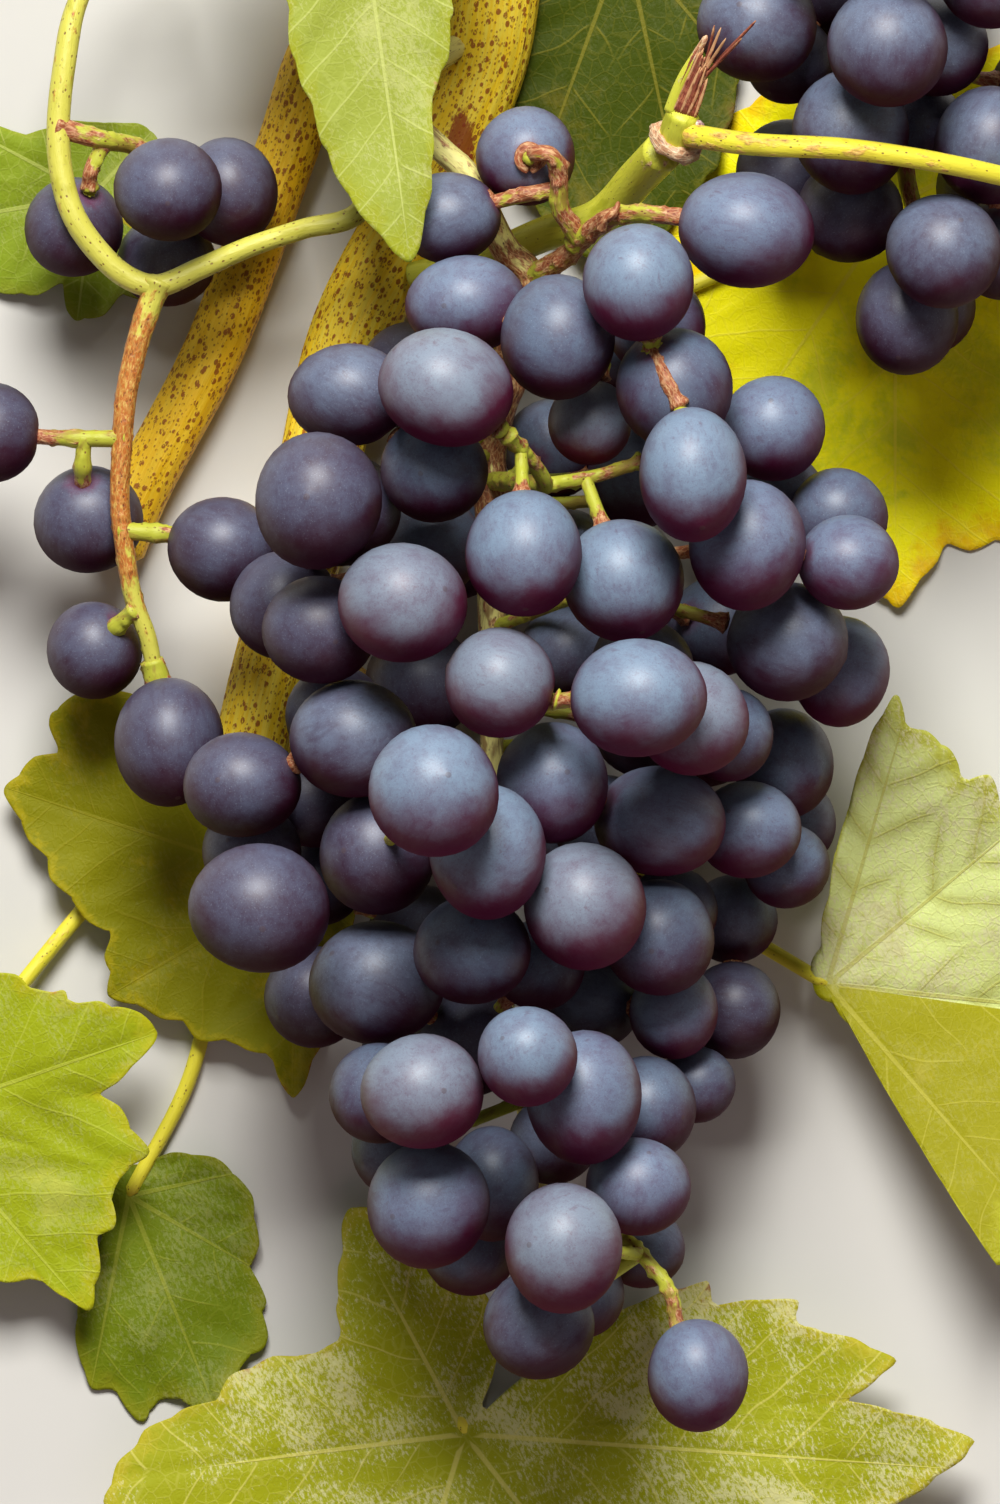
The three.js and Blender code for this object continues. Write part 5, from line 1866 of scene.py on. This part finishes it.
        # A power of 1.5 by its root: the last digit of numpy's power varies, and corners half-way between
        # two veins would change sides with it.
        inward = 1 - np.linspace(0.03, 1, self.rows)
        share = 1 - inward * np.sqrt(inward)
        share = np.concatenate([share, share[::-1]])[:, None]
        x, y = share * reach * np.cos(bearing), share * reach * np.sin(bearing)
        along, aside, apart = self._veins(x, y)
        height = self._height(x, y, share, along, aside)
        upper = np.repeat([0.0, 1.0], self.rows)[:, None]
        thin = self.thickness * (1 - 0.75 * share**8)
        lowest = shape.floor + 0.7
        z = np.maximum(shape.at[2] + height, lowest + 0.1 * np.sin(x / 4) * np.sin(y / 5))
        z = z + (upper - 0.5) * thin + self.lift
        corners = np.stack([shape.at[0] + x, shape.at[1] + y, z], -1)
        offset = (self.seed % 97) * 31.0
        blade = np.stack([x + offset, y, 0 * x], -1)
        marks = {
            "blade": blade[None],
            "vein": np.stack([along, aside, np.broadcast_to(share, x.shape)], -1)[None],
            "side": (self._sidelong(x, y) > 0).astype(float)[None],
            "apart": apart[None],
            "bark": np.zeros_like(blade)[None],
            "blush": np.zeros_like(x)[None],
        }
        poles = np.stack([corners[0].mean(axis=0), corners[-1].mean(axis=0)])[None]
        leaf = closed_skins(corners[None], poles, marks, np.zeros(1, int))
        stalk = tube(shape.stem(self.lift), sides=12, spacing=1.2, seed=self.seed, blush=self.blush)
        count = len(stalk.corners)
        blank = {name: np.zeros((count, *values.shape[1:])) for name, values in leaf.marks.items()}
        return joined([leaf, replace(stalk, marks={**blank, **stalk.marks}).in_slot(1)])


def add_piece(
    name: str,
    surface: Surface,
    skins: Sequence[bpy.types.Material],
    nodes: Sequence[str],
    shift: Array,
) -> None:
    """Makes a piece that rides on the branch and stands for some nodes.

    Args:
        name: the piece's name.
        surface: its skin, in millimetres.
        skins: the materials that its faces are dealt.
        nodes: the nodes that it replaces.
        shift: from the drawing frame to the model's, in millimetres.
    """
    mesh = bpy.data.meshes.new(name)
    mesh.vertices.add(len(surface.corners))
    mesh.vertices.foreach_set("co", ((surface.corners + shift) * MM).astype(np.float32).ravel())
    loops = np.concatenate([surface.quads.ravel(), surface.tris.ravel()])
    mesh.loops.add(len(loops))
    mesh.loops.foreach_set("vertex_index", loops.astype(np.int32))
    sizes = np.repeat([4, 3], [len(surface.quads), len(surface.tris)])
    mesh.polygons.add(len(sizes))
    mesh.polygons.foreach_set("loop_start", (np.cumsum(sizes) - sizes).astype(np.int32))
    mesh.polygons.foreach_set("use_smooth", np.ones(len(sizes), bool))
    slots = np.concatenate([surface.quad_slots, surface.tri_slots])
    mesh.polygons.foreach_set("material_index", slots.astype(np.int32))
    for mark, values in surface.marks.items():
        kind, key = ("FLOAT_VECTOR", "vector") if values.ndim == 2 else ("FLOAT", "value")
        layer = mesh.attributes.new(mark, kind, "POINT")
        layer.data.foreach_set(key, values.astype(np.float32).ravel())
    for skin in skins:
        mesh.materials.append(skin)
    mesh.update(calc_edges=True)
    piece = bpy.data.objects.new(name, mesh)
    bpy.context.scene.collection.objects.link(piece)
    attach(piece, BODY)
    if nodes:
        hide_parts(*nodes)
    logger.info("%s: %d faces with four sides, %d with three", name, len(surface.quads), len(surface.tris))


# Finishes from light to dark; the darker ones are dealt to the deep and the left berries as painted shade.
BLOOMS = (
    BerrySkin("bloom_blue", (122, 142, 166), (86, 68, 96), (82, 0, 44), 0.5),
    BerrySkin("bloom_grey", (128, 140, 158), (96, 74, 96), (86, 2, 44), 0.46),
    BerrySkin("bloom_slate", (114, 130, 156), (82, 60, 90), (76, 0, 42), 0.4),
    BerrySkin("bloom_dark", (98, 114, 138), (68, 46, 74), (62, 0, 34), 0.36),
)
DARK_BLOOMS = (
    BerrySkin("shaded_blue", (104, 116, 140), (64, 42, 66), (58, 0, 32), 0.34),
    BerrySkin("shaded_slate", (88, 92, 116), (58, 32, 54), (52, 0, 28), 0.28),
)
LATERAL_SKIN = StemSkin(
    "lateral_skin", (184, 186, 58), (156, 124, 56), (162, 82, 56), (222, 178, 132), (112, 38, 34),
    0.5, 0.35, 0.35,
)
PEDUNCLE_SKIN = StemSkin(
    "peduncle_skin", (244, 234, 146), (122, 66, 34), (150, 74, 46), (220, 178, 124), (84, 36, 28),
    0.45, 0.4, 0.4,
)
WING_STEM = StemSkin(
    "wing_stem", (208, 202, 84), (184, 178, 56), (190, 104, 44), (214, 178, 96), (112, 56, 32),
    0.35, 0.5, 0.3, 0.42,
)
SHOOT_SKIN = StemSkin(
    "shoot_skin", (210, 210, 68), (174, 176, 36), (204, 148, 116), (238, 214, 176), (92, 44, 34),
    0.4, 0.15, 0.5, 0.38,
)
FIBRE_SKIN = StemSkin(
    "fibre_skin", (206, 158, 112), (168, 100, 66), (128, 48, 36), (176, 104, 74), (78, 24, 22),
    0.5, 0.2, 0.3, 0.7,
)
BUD_SKIN = StemSkin(
    "bud_skin", (206, 178, 172), (170, 126, 130), (150, 90, 96), (236, 220, 208), (84, 44, 40),
    0.5, 0.25, 0.4, 0.6,
)
PETIOLE = StemSkin(
    "petiole", (226, 214, 56), (204, 184, 46), (226, 174, 84), (232, 206, 120), (104, 50, 32),
    0.35, 0.35, 0.12,
)


def lumpy_ring(centre: Point, axis: Point, radius: float, thick: float, seed: int) -> Surface:
    """A closed loop of a lumpy stem, whose corners lie at the radius round the axis.

    Args:
        centre: its middle.
        axis: the way through it.
        radius: of the loop's middle line.
        thick: the loop's half thickness.
        seed: of its warts.

    Returns:
        The ring.
    """
    across, up = sideways(unit(np.array([axis])))
    turn = np.linspace(0, FULL_TURN, 13)[:, None]
    loop = np.array(centre) + radius * (across * np.cos(turn) + up * np.sin(turn))
    limb = Limb(loop, (thick, 0.8 * thick, 1.2 * thick, 0.9 * thick, thick))
    relief = Relief(0.12, 4, warts=22, wart_height=0.36 * thick, wart_size=0.5 * thick)
    return tube(limb, relief, 18, 0.35, seed, blush=(0.9, 0.5, 1.0, 0.6, 0.9))


def top_details() -> tuple[Surface, ...]:
    """The lumpy ring round a stalk's green end on the uppermost berry's front, and a dried hook beside it.

    Returns:
        The ring, the green end and the hook.
    """
    ring = lumpy_ring((4.9, 99.1, 52.0), (0.1, -0.05, 1.0), 1.85, 0.8, 71)
    bent = ((16.9, 86.8, 57.0), (17.6, 88.6, 58.6), (19.2, 90.2, 59.4), (19.8, 91.8, 59.0))
    hook = Limb(bent, (0.9, 0.6, 0.7, 0.25))
    green = tube(Limb(((4.9, 99.1, 50.6), (4.9, 99.1, 54.1)), (1.35, 1.1)), Relief(0.08, 5), 14, 0.4, 73)
    return ring, green, tube(hook, Relief(0.1, 5, warts=20), 12, 0.4, 72, blush=(1.0, 1.0, 1.0))


@dataclass
class GrapeBunch:
    """A bunch of grapes with its short stalks.

    Attributes:
        name: of the bunch.
        growth: its berries' rows and stalks.
        blooms: the finishes that its berries are dealt.
        reds: how far the stalks of some laterals have reddened, from foot to tip.
        corners: of a berry, from end to end and round.
        extras: more skins that go with its stalks.
    """

    name: str
    growth: Growth
    blooms: tuple[BerrySkin, ...]
    reds: Mapping[str, Sizes] = field(default_factory=dict)
    corners: tuple[int, int] = (22, 34)
    extras: tuple[Surface, ...] = ()

    def _nodes(self) -> list[str]:
        """The nodes of the bunch: its laterals and single berries."""
        names = self.growth.berries.names
        return list(self.growth.laterals) + [names[row] for row in self.growth.singles]

    def _roots(self) -> dict[int, Array]:
        """The last point of each berry's stalk before the berry.

        Returns:
            The points, by the berry's row.
        """
        all_stalks = (stalk for stalks in self.growth.stalks.values() for stalk in stalks)
        roots = {stalk.berry: stalk.points[-2] for stalk in all_stalks}
        centre = self.growth.berries.centre
        ends = np.array([limb.points[-1] for limb in WING_STALKS], float)
        for row in self.growth.singles:
            if row not in roots:
                roots[row] = ends[np.linalg.norm(ends - centre[row], axis=1).argmin()]
        return roots

    def berries(self) -> Surface:
        """All the berries, dealt the blooms by place and seed: the deep and the left ones get the darker
        finishes as painted shade, with a seeded random tone on top.

        Returns:
            The berries' skins.
        """
        roots = self._roots()
        rows = np.array(sorted(roots), int)
        centre = self.growth.berries.centre[rows]
        axes = centre - np.stack([roots[row] for row in rows])
        # Painted shade: deeper berries and those on the left are dealt darker finishes, plus a seeded random
        # tone.
        deep = 1 - centre[:, 2].argsort().argsort() / len(rows)
        left = np.clip((-10 - centre[:, 0]) / 26, 0, 1)
        painted_shade_and_tone = 0.6 * deep + 0.75 * left + np.random.default_rng(8).uniform(0, 0.5, len(rows))
        slots = np.clip(painted_shade_and_tone * len(self.blooms), 0, len(self.blooms) - 1).astype(int)
        return berry_skins(self.growth.berries, rows, axes, slots, self.corners)

    def stalks(self) -> Surface:
        """All the stalks: the thicker arms, and a flared one for each berry up to its skin.

        Returns:
            The stalks' skins.
        """
        berries = self.growth.berries
        arm = Relief(warts=16, wart_height=0.5, wart_size=0.6, knots=(0.0, 1.0), knot_size=1.4)
        short = Relief(warts=12, wart_height=0.36, wart_size=0.5)
        pieces = []
        for name, lateral in self.growth.laterals.items():
            reds = self.reds.get(name, (0.15, 0.4, 0.1, 0.45))
            for limb in lateral.limbs:
                pieces.append(tube(limb.rooted(), arm, 18, 0.45, len(pieces) + 1, blush=reds))
            for stalk in self.growth.stalks[name]:
                points = stalk.points.copy()
                away = unit(points[-2] - points[-1])
                points[-1] += away * berries.reach(np.array([stalk.berry]), away[None])[0]
                limb = Limb(points, (STALK_RADIUS, 0.95 * STALK_RADIUS))
                pieces.append(tube(limb, short, 16, 0.5, len(pieces) + 1, (1.3, 1.3), (0.3, 0.05, 0.15, 0.8)))
        return joined([*pieces, *self.extras])

    def build(self, shift: Array) -> None:
        """Adds the two pieces of the bunch.

        Args:
            shift: from the drawing frame to the model's, in millimetres.
        """
        blooms = [skin.material() for skin in self.blooms]
        add_piece(f"{self.name}_berries", self.berries(), blooms, self._nodes(), shift)
        stalks, laterals = [LATERAL_SKIN.material()], list(self.growth.laterals)
        add_piece(f"{self.name}_stalks", self.stalks(), stalks, laterals, shift)


@dataclass(frozen=True)
class Cane:
    """A ripened cane that is a piece of its own.

    Attributes:
        node: the node that it replaces.
        limb: its middle line and radii.
        relief: of its bark.
        skin: its finish.
        sides: corners round it.
        seed: of its relief.
    """

    node: str
    limb: Limb
    relief: Relief
    skin: CaneSkin
    sides: int
    seed: int

    def build(self, shift: Array) -> None:
        """Adds the cane.

        Args:
            shift: from the drawing frame to the model's, in millimetres.
        """
        surface = tube(self.limb, self.relief, self.sides, 0.7, self.seed)
        surface.marks["place"] = surface.corners
        add_piece(f"{self.node}_bark", surface, [self.skin.material()], [self.node], shift)


@dataclass(frozen=True)
class Stem:
    """A green stem that is a piece of its own, with the short stalks that grow on it.

    Attributes:
        node: the node that it replaces.
        limb: its middle line and radii.
        relief: of its skin.
        skin: its finish.
        sides: corners round it.
        seed: of its relief.
        blush: how far it has reddened, from foot to tip.
        shorts: the short stalks.
    """

    node: str
    limb: Limb
    relief: Relief
    skin: StemSkin
    sides: int
    seed: int
    blush: Sizes = (0.0, 0.0)
    shorts: tuple[Limb, ...] = ()

    def surfaces(self) -> list[Surface]:
        """The stem and its short stalks, flared at the tips.

        Returns:
            Their skins.
        """
        knotted = Relief(0.05, 7, 18, 0.4, knots=(0.0, 0.5), knot_height=0.3, knot_size=1.2)
        pieces = [tube(self.limb.rooted(), self.relief, self.sides, 0.6, self.seed, blush=self.blush)]
        for number, limb in enumerate(self.shorts, self.seed + 1):
            short = tube(limb.rooted(), knotted, 16, 0.45, number, (1.3, 0.9), (0.3, 0.1, 0.25, 1.0))
            pieces.append(short.in_slot(1))
        return pieces

    def finishes(self) -> list[StemSkin]:
        """The finishes, in the order of the surfaces' material numbers."""
        return [self.skin, LATERAL_SKIN] if self.shorts else [self.skin]

    def build(self, shift: Array) -> None:
        """Adds the stem."""
        skins = [skin.material() for skin in self.finishes()]
        add_piece(f"{self.node}_stem", joined(self.surfaces()), skins, [self.node], shift)


@dataclass(frozen=True)
class TornShoot(Stem):
    """The side shoot, whose end is torn off over a node: a lumpy ring, a bud, a half shell and fibres.

    Attributes:
        ring_centre: the middle of the ring.
        ring_axis: the way of the shoot there.
        ring_radius: of the ring's middle line.
        ring_thickness: its half thickness.
        bud: the bud's middle line.
        tear_foot: the middle of the tear's foot.
        tear_top: the top of its thin side.
        strands: how many fibres lie side by side in it.
        splinters: the tips of those that stand out further.
    """

    ring_centre: Point = (29.2, 101.8, 55.2)
    ring_axis: Point = (0.4, 0.74, 0.54)
    ring_radius: float = 3.2
    ring_thickness: float = 1.4
    bud: Rows = ((31.6, 102.0, 57.0), (32.8, 103.9, 59.0), (33.3, 105.2, 60.0))
    tear_foot: Point = (30.6, 106.6, 59.5)
    tear_top: Point = (35.3, 119.0, 65.0)
    strands: int = 23
    splinters: Rows = (
        (36.8, 120.6, 66.4), (42.6, 121.8, 66.0), (40.2, 118.8, 66.6), (37.6, 118.8, 66.9),
        (35.7, 121.0, 66.0),
    )

    def _strand(self, start: Array, tip: Array, number: int, radius: float) -> Surface:
        """A fibre: a thin stem that bows a little to its pointed tip.

        Args:
            start: its foot.
            tip: its tip.
            number: the seed of its bow.
            radius: at its foot.

        Returns:
            Its skin.
        """
        bend = start * 0.5 + tip * 0.5 + np.random.default_rng(number).uniform(-0.25, 0.25, 3)
        limb = Limb((start, bend, tip), (radius, 0.9 * radius, 0.18))
        blush = (0.5, 0.2, 0.0) if number % 3 == 0 else (1.0, 0.9, 0.3)
        return tube(limb, Relief(0.08, 3), 8, 0.9, number, blush=blush).in_slot(2)

    def surfaces(self) -> list[Surface]:
        """The shoot up to its tear, then the ring, the stump, its thin side, the bud and the fibres.

        Returns:
            Their skins.
        """
        foot, top = np.array(self.tear_foot), np.array(self.tear_top)
        along = unit(top - foot)
        aside = unit(np.cross(along, (0, 0, 1.0)))
        node = np.array(self.ring_centre)
        ring = lumpy_ring(self.ring_centre, self.ring_axis, self.ring_radius, self.ring_thickness, 31)
        stump = Limb((node, (node + foot) / 2, foot + 0.6 * along), (3.1, 3.0, 2.7))
        side = foot - 2.1 * aside
        rim = Limb((side - along, side + 5.0 * along, top - 0.9 * aside), (1.2, 1.0, 0.45))
        bud = Limb(self.bud, (1.3, 1.9, 1.6, 0.5))
        smooth = Relief(0.08, 5)
        pieces = [
            *super().surfaces(), ring,
            tube(stump, Relief(0.1, 9), 22, 0.5, 32),
            tube(rim, smooth, 12, 0.5, 34, blush=(0, 0.1, 0.6)),
            tube(bud, smooth, 14, 0.4, 33, blush=(0.2, 0.5)).in_slot(1),
        ]
        for number in range(self.strands):
            share = number / (self.strands - 1)
            above = 1.1 - 2.4 * (share - 0.5) ** 2 - 0.5 * (number % 2)
            start = foot + (share - 0.56) * 4.4 * aside + (0, 0, above)
            length = 12.5 - 6.0 * share + 1.2 * np.sin(2.4 * number)
            tip = start + length * along + (0.9 - 1.1 * share) * aside
            pieces.append(self._strand(start - 0.5 * along, tip, 35 + number, 0.4))
        for number, tip in enumerate(self.splinters, 60):
            pieces.append(self._strand(foot + 6 * along + 0.6 * aside, np.array(tip), number, 0.32))
        return pieces

    def finishes(self) -> list[StemSkin]:
        """The finishes of the shoot, the bud and the fibres."""
        return [self.skin, BUD_SKIN, FIBRE_SKIN]


CANES = (
    Cane(
        "cane", CANE, Relief(0.12, 19, knots=(0.36,)),
        CaneSkin(
            "cane_bark", (255, 212, 28), (255, 230, 80), (146, 50, 12),
            ((-6.5, 102, 6, 2.2), (-2.5, 142, 4, 1.6)),
        ),
        64, 2,
    ),
    Cane(
        "side_cane", SIDE_CANE, Relief(0.1, 15),
        CaneSkin("side_bark", (238, 186, 14), (246, 206, 52), (136, 52, 12)), 48, 3,
    ),
)
STEMS = (
    Stem(
        "peduncle", PEDUNCLE, Relief(0.08, 9, 3, 0.15, knots=(0.36, 0.5), knot_height=0.4),
        PEDUNCLE_SKIN, 24, 4, (0.1, 0.2, 0.5, 0.6, 0.2, 0.15, 0.15, 0.3),
    ),
    TornShoot(
        "side_shoot", replace(SIDE_SHOOT, points=SIDE_SHOOT.points[:6], radii=(2.4, 2.8, 3, 3.2, 3.4)),
        Relief(0.06, 11), SHOOT_SKIN, 24, 5, (0, 0, 0, 0.05, 0.2),
    ),
    Stem("second_peduncle", SECOND_PEDUNCLE, Relief(0.06, 9, 2), LATERAL_SKIN, 16, 6, (0.2, 0.4)),
    Stem("wing_arm", WING_ARM, Relief(0.06, 9, 5, 0.12), WING_STEM, 18, 7, (0.0, 0.1, 0.25)),
    Stem(
        "wing_fall", WING_FALL, Relief(0.12, 8, 14, 0.3, knots=(0.0,), knot_height=0.9), WING_STEM, 18, 8,
        (0.2, 0.7, 0.8, 0.45, 0.05), WING_STALKS,
    ),
)


LEAF_SKINS = {
    "leaf_front": LeafSkin(
        (150, 160, 60), (172, 177, 88), (186, 192, 108), (150, 154, 24), (190, 120, 90)
    ),
    "leaf_dark": LeafSkin(
        (62, 74, 0), (104, 96, 4), (132, 124, 38), (96, 98, 8), (110, 80, 40), 0.45, 0.05,
        flecks=0.03, vein_strength=0.6,
    ),
    "leaf_yellow": LeafSkin(
        (255, 246, 0), (214, 220, 2), (250, 236, 70), (240, 186, 4), (170, 90, 30), 0.6,
        flecks=0.05, vein_strength=0.6,
    ),
    # The left half of the folded leaf is paler, and its colour is also lightened as painted light where it
    # slopes away from the key.
    "leaf_folded": LeafSkin(
        (146, 142, 0), (158, 148, 2), (188, 180, 74), (176, 176, 40), (150, 90, 50),
        half=(220, 232, 146), flecks=0.7, vein_strength=0.5,
    ),
    "leaf_low": LeafSkin(
        (154, 158, 16), (172, 170, 34), (212, 204, 106), (182, 170, 40), (150, 90, 50), 0.4, 0.1,
        flecks=0.6, vein_strength=0.7,
    ),
    "leaf_lime": LeafSkin(
        (152, 164, 16), (176, 180, 26), (186, 192, 74), (176, 172, 20), (196, 112, 60), 0.4, 0.12,
        flecks=0.14, vein_strength=0.55,
    ),
    "leaf_deep": LeafSkin(
        (104, 120, 6), (136, 138, 14), (156, 158, 54), (130, 132, 16), (120, 80, 40),
        flecks=0.12, vein_strength=0.45,
    ),
    "leaf_olive": LeafSkin(
        (126, 124, 0), (162, 146, 2), (150, 140, 30), (160, 146, 12), (140, 66, 30), 0.5, 0.06,
        flecks=0.04, vein_strength=0.4,
    ),
    "leaf_wing": LeafSkin(
        (128, 146, 30), (152, 162, 46), (180, 188, 96), (140, 150, 40), (140, 90, 50),
        flecks=0.1, vein_strength=0.6,
    ),
    "leaf_edge": LeafSkin(
        (160, 162, 30), (180, 174, 40), (196, 190, 90), (190, 170, 40), (160, 96, 60),
        flecks=0.15, vein_strength=0.6,
    ),
}
LEAF_VEINS = {
    "leaf_dark": (-110.0, -78.0, -50.0, 20.0, 150.0),
    "leaf_folded": (-49.0, -6.0, 40.0, 74.0),
    "leaf_low": (-107.0, -52.0, -4.0, 118.0, 187.0),
}
LEAF_LIFTS = {"leaf_low": 2.2}


@dataclass
class Studio:
    """The floor, the lights and the camera.

    Attributes:
        shift: from the drawing frame to the model's, in millimetres.
        plane: the height that keeps the photograph's scale.
        stand: the camera's distance from that plane, in metres.
    """

    shift: Array
    plane: float = 60.0
    stand: float = 6.0

    def floor(self) -> None:
        """A wide pale floor."""
        half = 15.0
        mesh = bpy.data.meshes.new("floor")
        corners = [(-half, -half, 0), (half, -half, 0), (half, half, 0), (-half, half, 0)]
        mesh.from_pydata(corners, [], [(0, 1, 2, 3)])
        nodes = Nodes("pale_floor")
        swells = nodes.noise(nodes.add("ShaderNodeTexCoord", output="Object"), 40, rough=0.55)
        mesh.materials.append(nodes.finish(nodes.mix((206, 204, 198), (212, 210, 205), swells), 0.9))
        floor = bpy.data.objects.new("floor", mesh)
        bpy.context.scene.collection.objects.link(floor)

    def light(self, name: str, place: Point, size: float, watts: float, tint: Point) -> None:
        """A square lamp that faces the branch's middle.

        Args:
            name: the lamp's name.
            place: where it stands, in metres.
            size: its side, in metres.
            watts: its power.
            tint: its colour, as linear light.
        """
        lamp = bpy.data.lights.new(name, "AREA")
        lamp.size, lamp.energy, lamp.color = size, watts, tint
        piece = bpy.data.objects.new(name, lamp)
        piece.location = place
        turn = np.arctan2(place[1], place[0])
        tilt = np.arccos(place[2] / np.linalg.norm(place))
        piece.rotation_euler = (0, tilt, turn)
        piece.visible_camera = False
        bpy.context.scene.collection.objects.link(piece)

    def lights(self) -> None:
        """A soft key from beyond the upper end, a faint warm one from the other side, and a dim sky."""
        self.light("key", (-0.1, 1.4, 1.7), 0.9, 73, (1, 0.99, 0.96))
        self.light("fill", (0.4, -1.7, 1.0), 1.4, 4, (1, 0.62, 0.68))
        world = bpy.data.worlds.new("pale_sky")
        world.use_nodes = True
        background = world.node_tree.nodes["Background"]
        background.inputs["Color"].default_value = (1, 0.95, 0.93, 1)
        background.inputs["Strength"].default_value = 0.15
        bpy.context.scene.world = world

    def camera(self) -> None:
        """A long lens straight above the photograph's middle, with the branch's upper end at the top."""
        lens = bpy.data.cameras.new("camera")
        lens.sensor_width = 36.0
        lens.lens = lens.sensor_width * self.stand / (PHOTO_HEIGHT / PIXELS_PER_MM * MM)
        lens.clip_end = 100.0
        piece = bpy.data.objects.new("camera", lens)
        height = (self.plane + self.shift[2]) * MM + self.stand
        piece.location = (self.shift[0] * MM, self.shift[1] * MM, height)
        bpy.context.scene.collection.objects.link(piece)
        bpy.context.scene.camera = piece


def main() -> None:
    """Builds the branch and its setting."""
    bpy.context.scene.view_settings.view_transform = "Standard"
    plant = Plant()
    low, high = (np.array(corner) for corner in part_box("berry_front"))
    own = plant.berries.centre[plant.berries.names.index("berry_front")]
    shift = (low + high) / 2 / MM - own
    logger.info("shift %s", shift.round(3))
    main_reds = {"top": (0.3, 0.55, 0.3, 0.7), "core_high": (0.15, 0.35), "right_high": (0.1, 0.3, 0.8, 0.9)}
    wing_reds = {"wing_top": (0.8, 0.1, 0.7, 0.2)}
    all_blooms = (*BLOOMS, *DARK_BLOOMS)
    GrapeBunch("main", plant.growths["main"], all_blooms, main_reds, extras=top_details()).build(shift)
    GrapeBunch("second", plant.growths["second"], DARK_BLOOMS).build(shift)
    GrapeBunch("wing", plant.growths["wing"], DARK_BLOOMS, wing_reds).build(shift)
    for stem in (*CANES, *STEMS):
        stem.build(shift)
    for seed, (name, shape) in enumerate(LEAVES.items(), 21):
        surface = LeafBlade(shape, seed, LEAF_VEINS.get(name, ()), LEAF_LIFTS.get(name, 0.0)).surface()
        skins = [LEAF_SKINS[name].material(f"{name}_skin"), PETIOLE.material()]
        add_piece(f"{name}_blade", surface, skins, [name], shift)
    studio = Studio(shift)
    studio.floor()
    studio.lights()
    studio.camera()


if __name__ == "__main__":
    logging.basicConfig(level=logging.INFO, format="%(message)s")
    main()
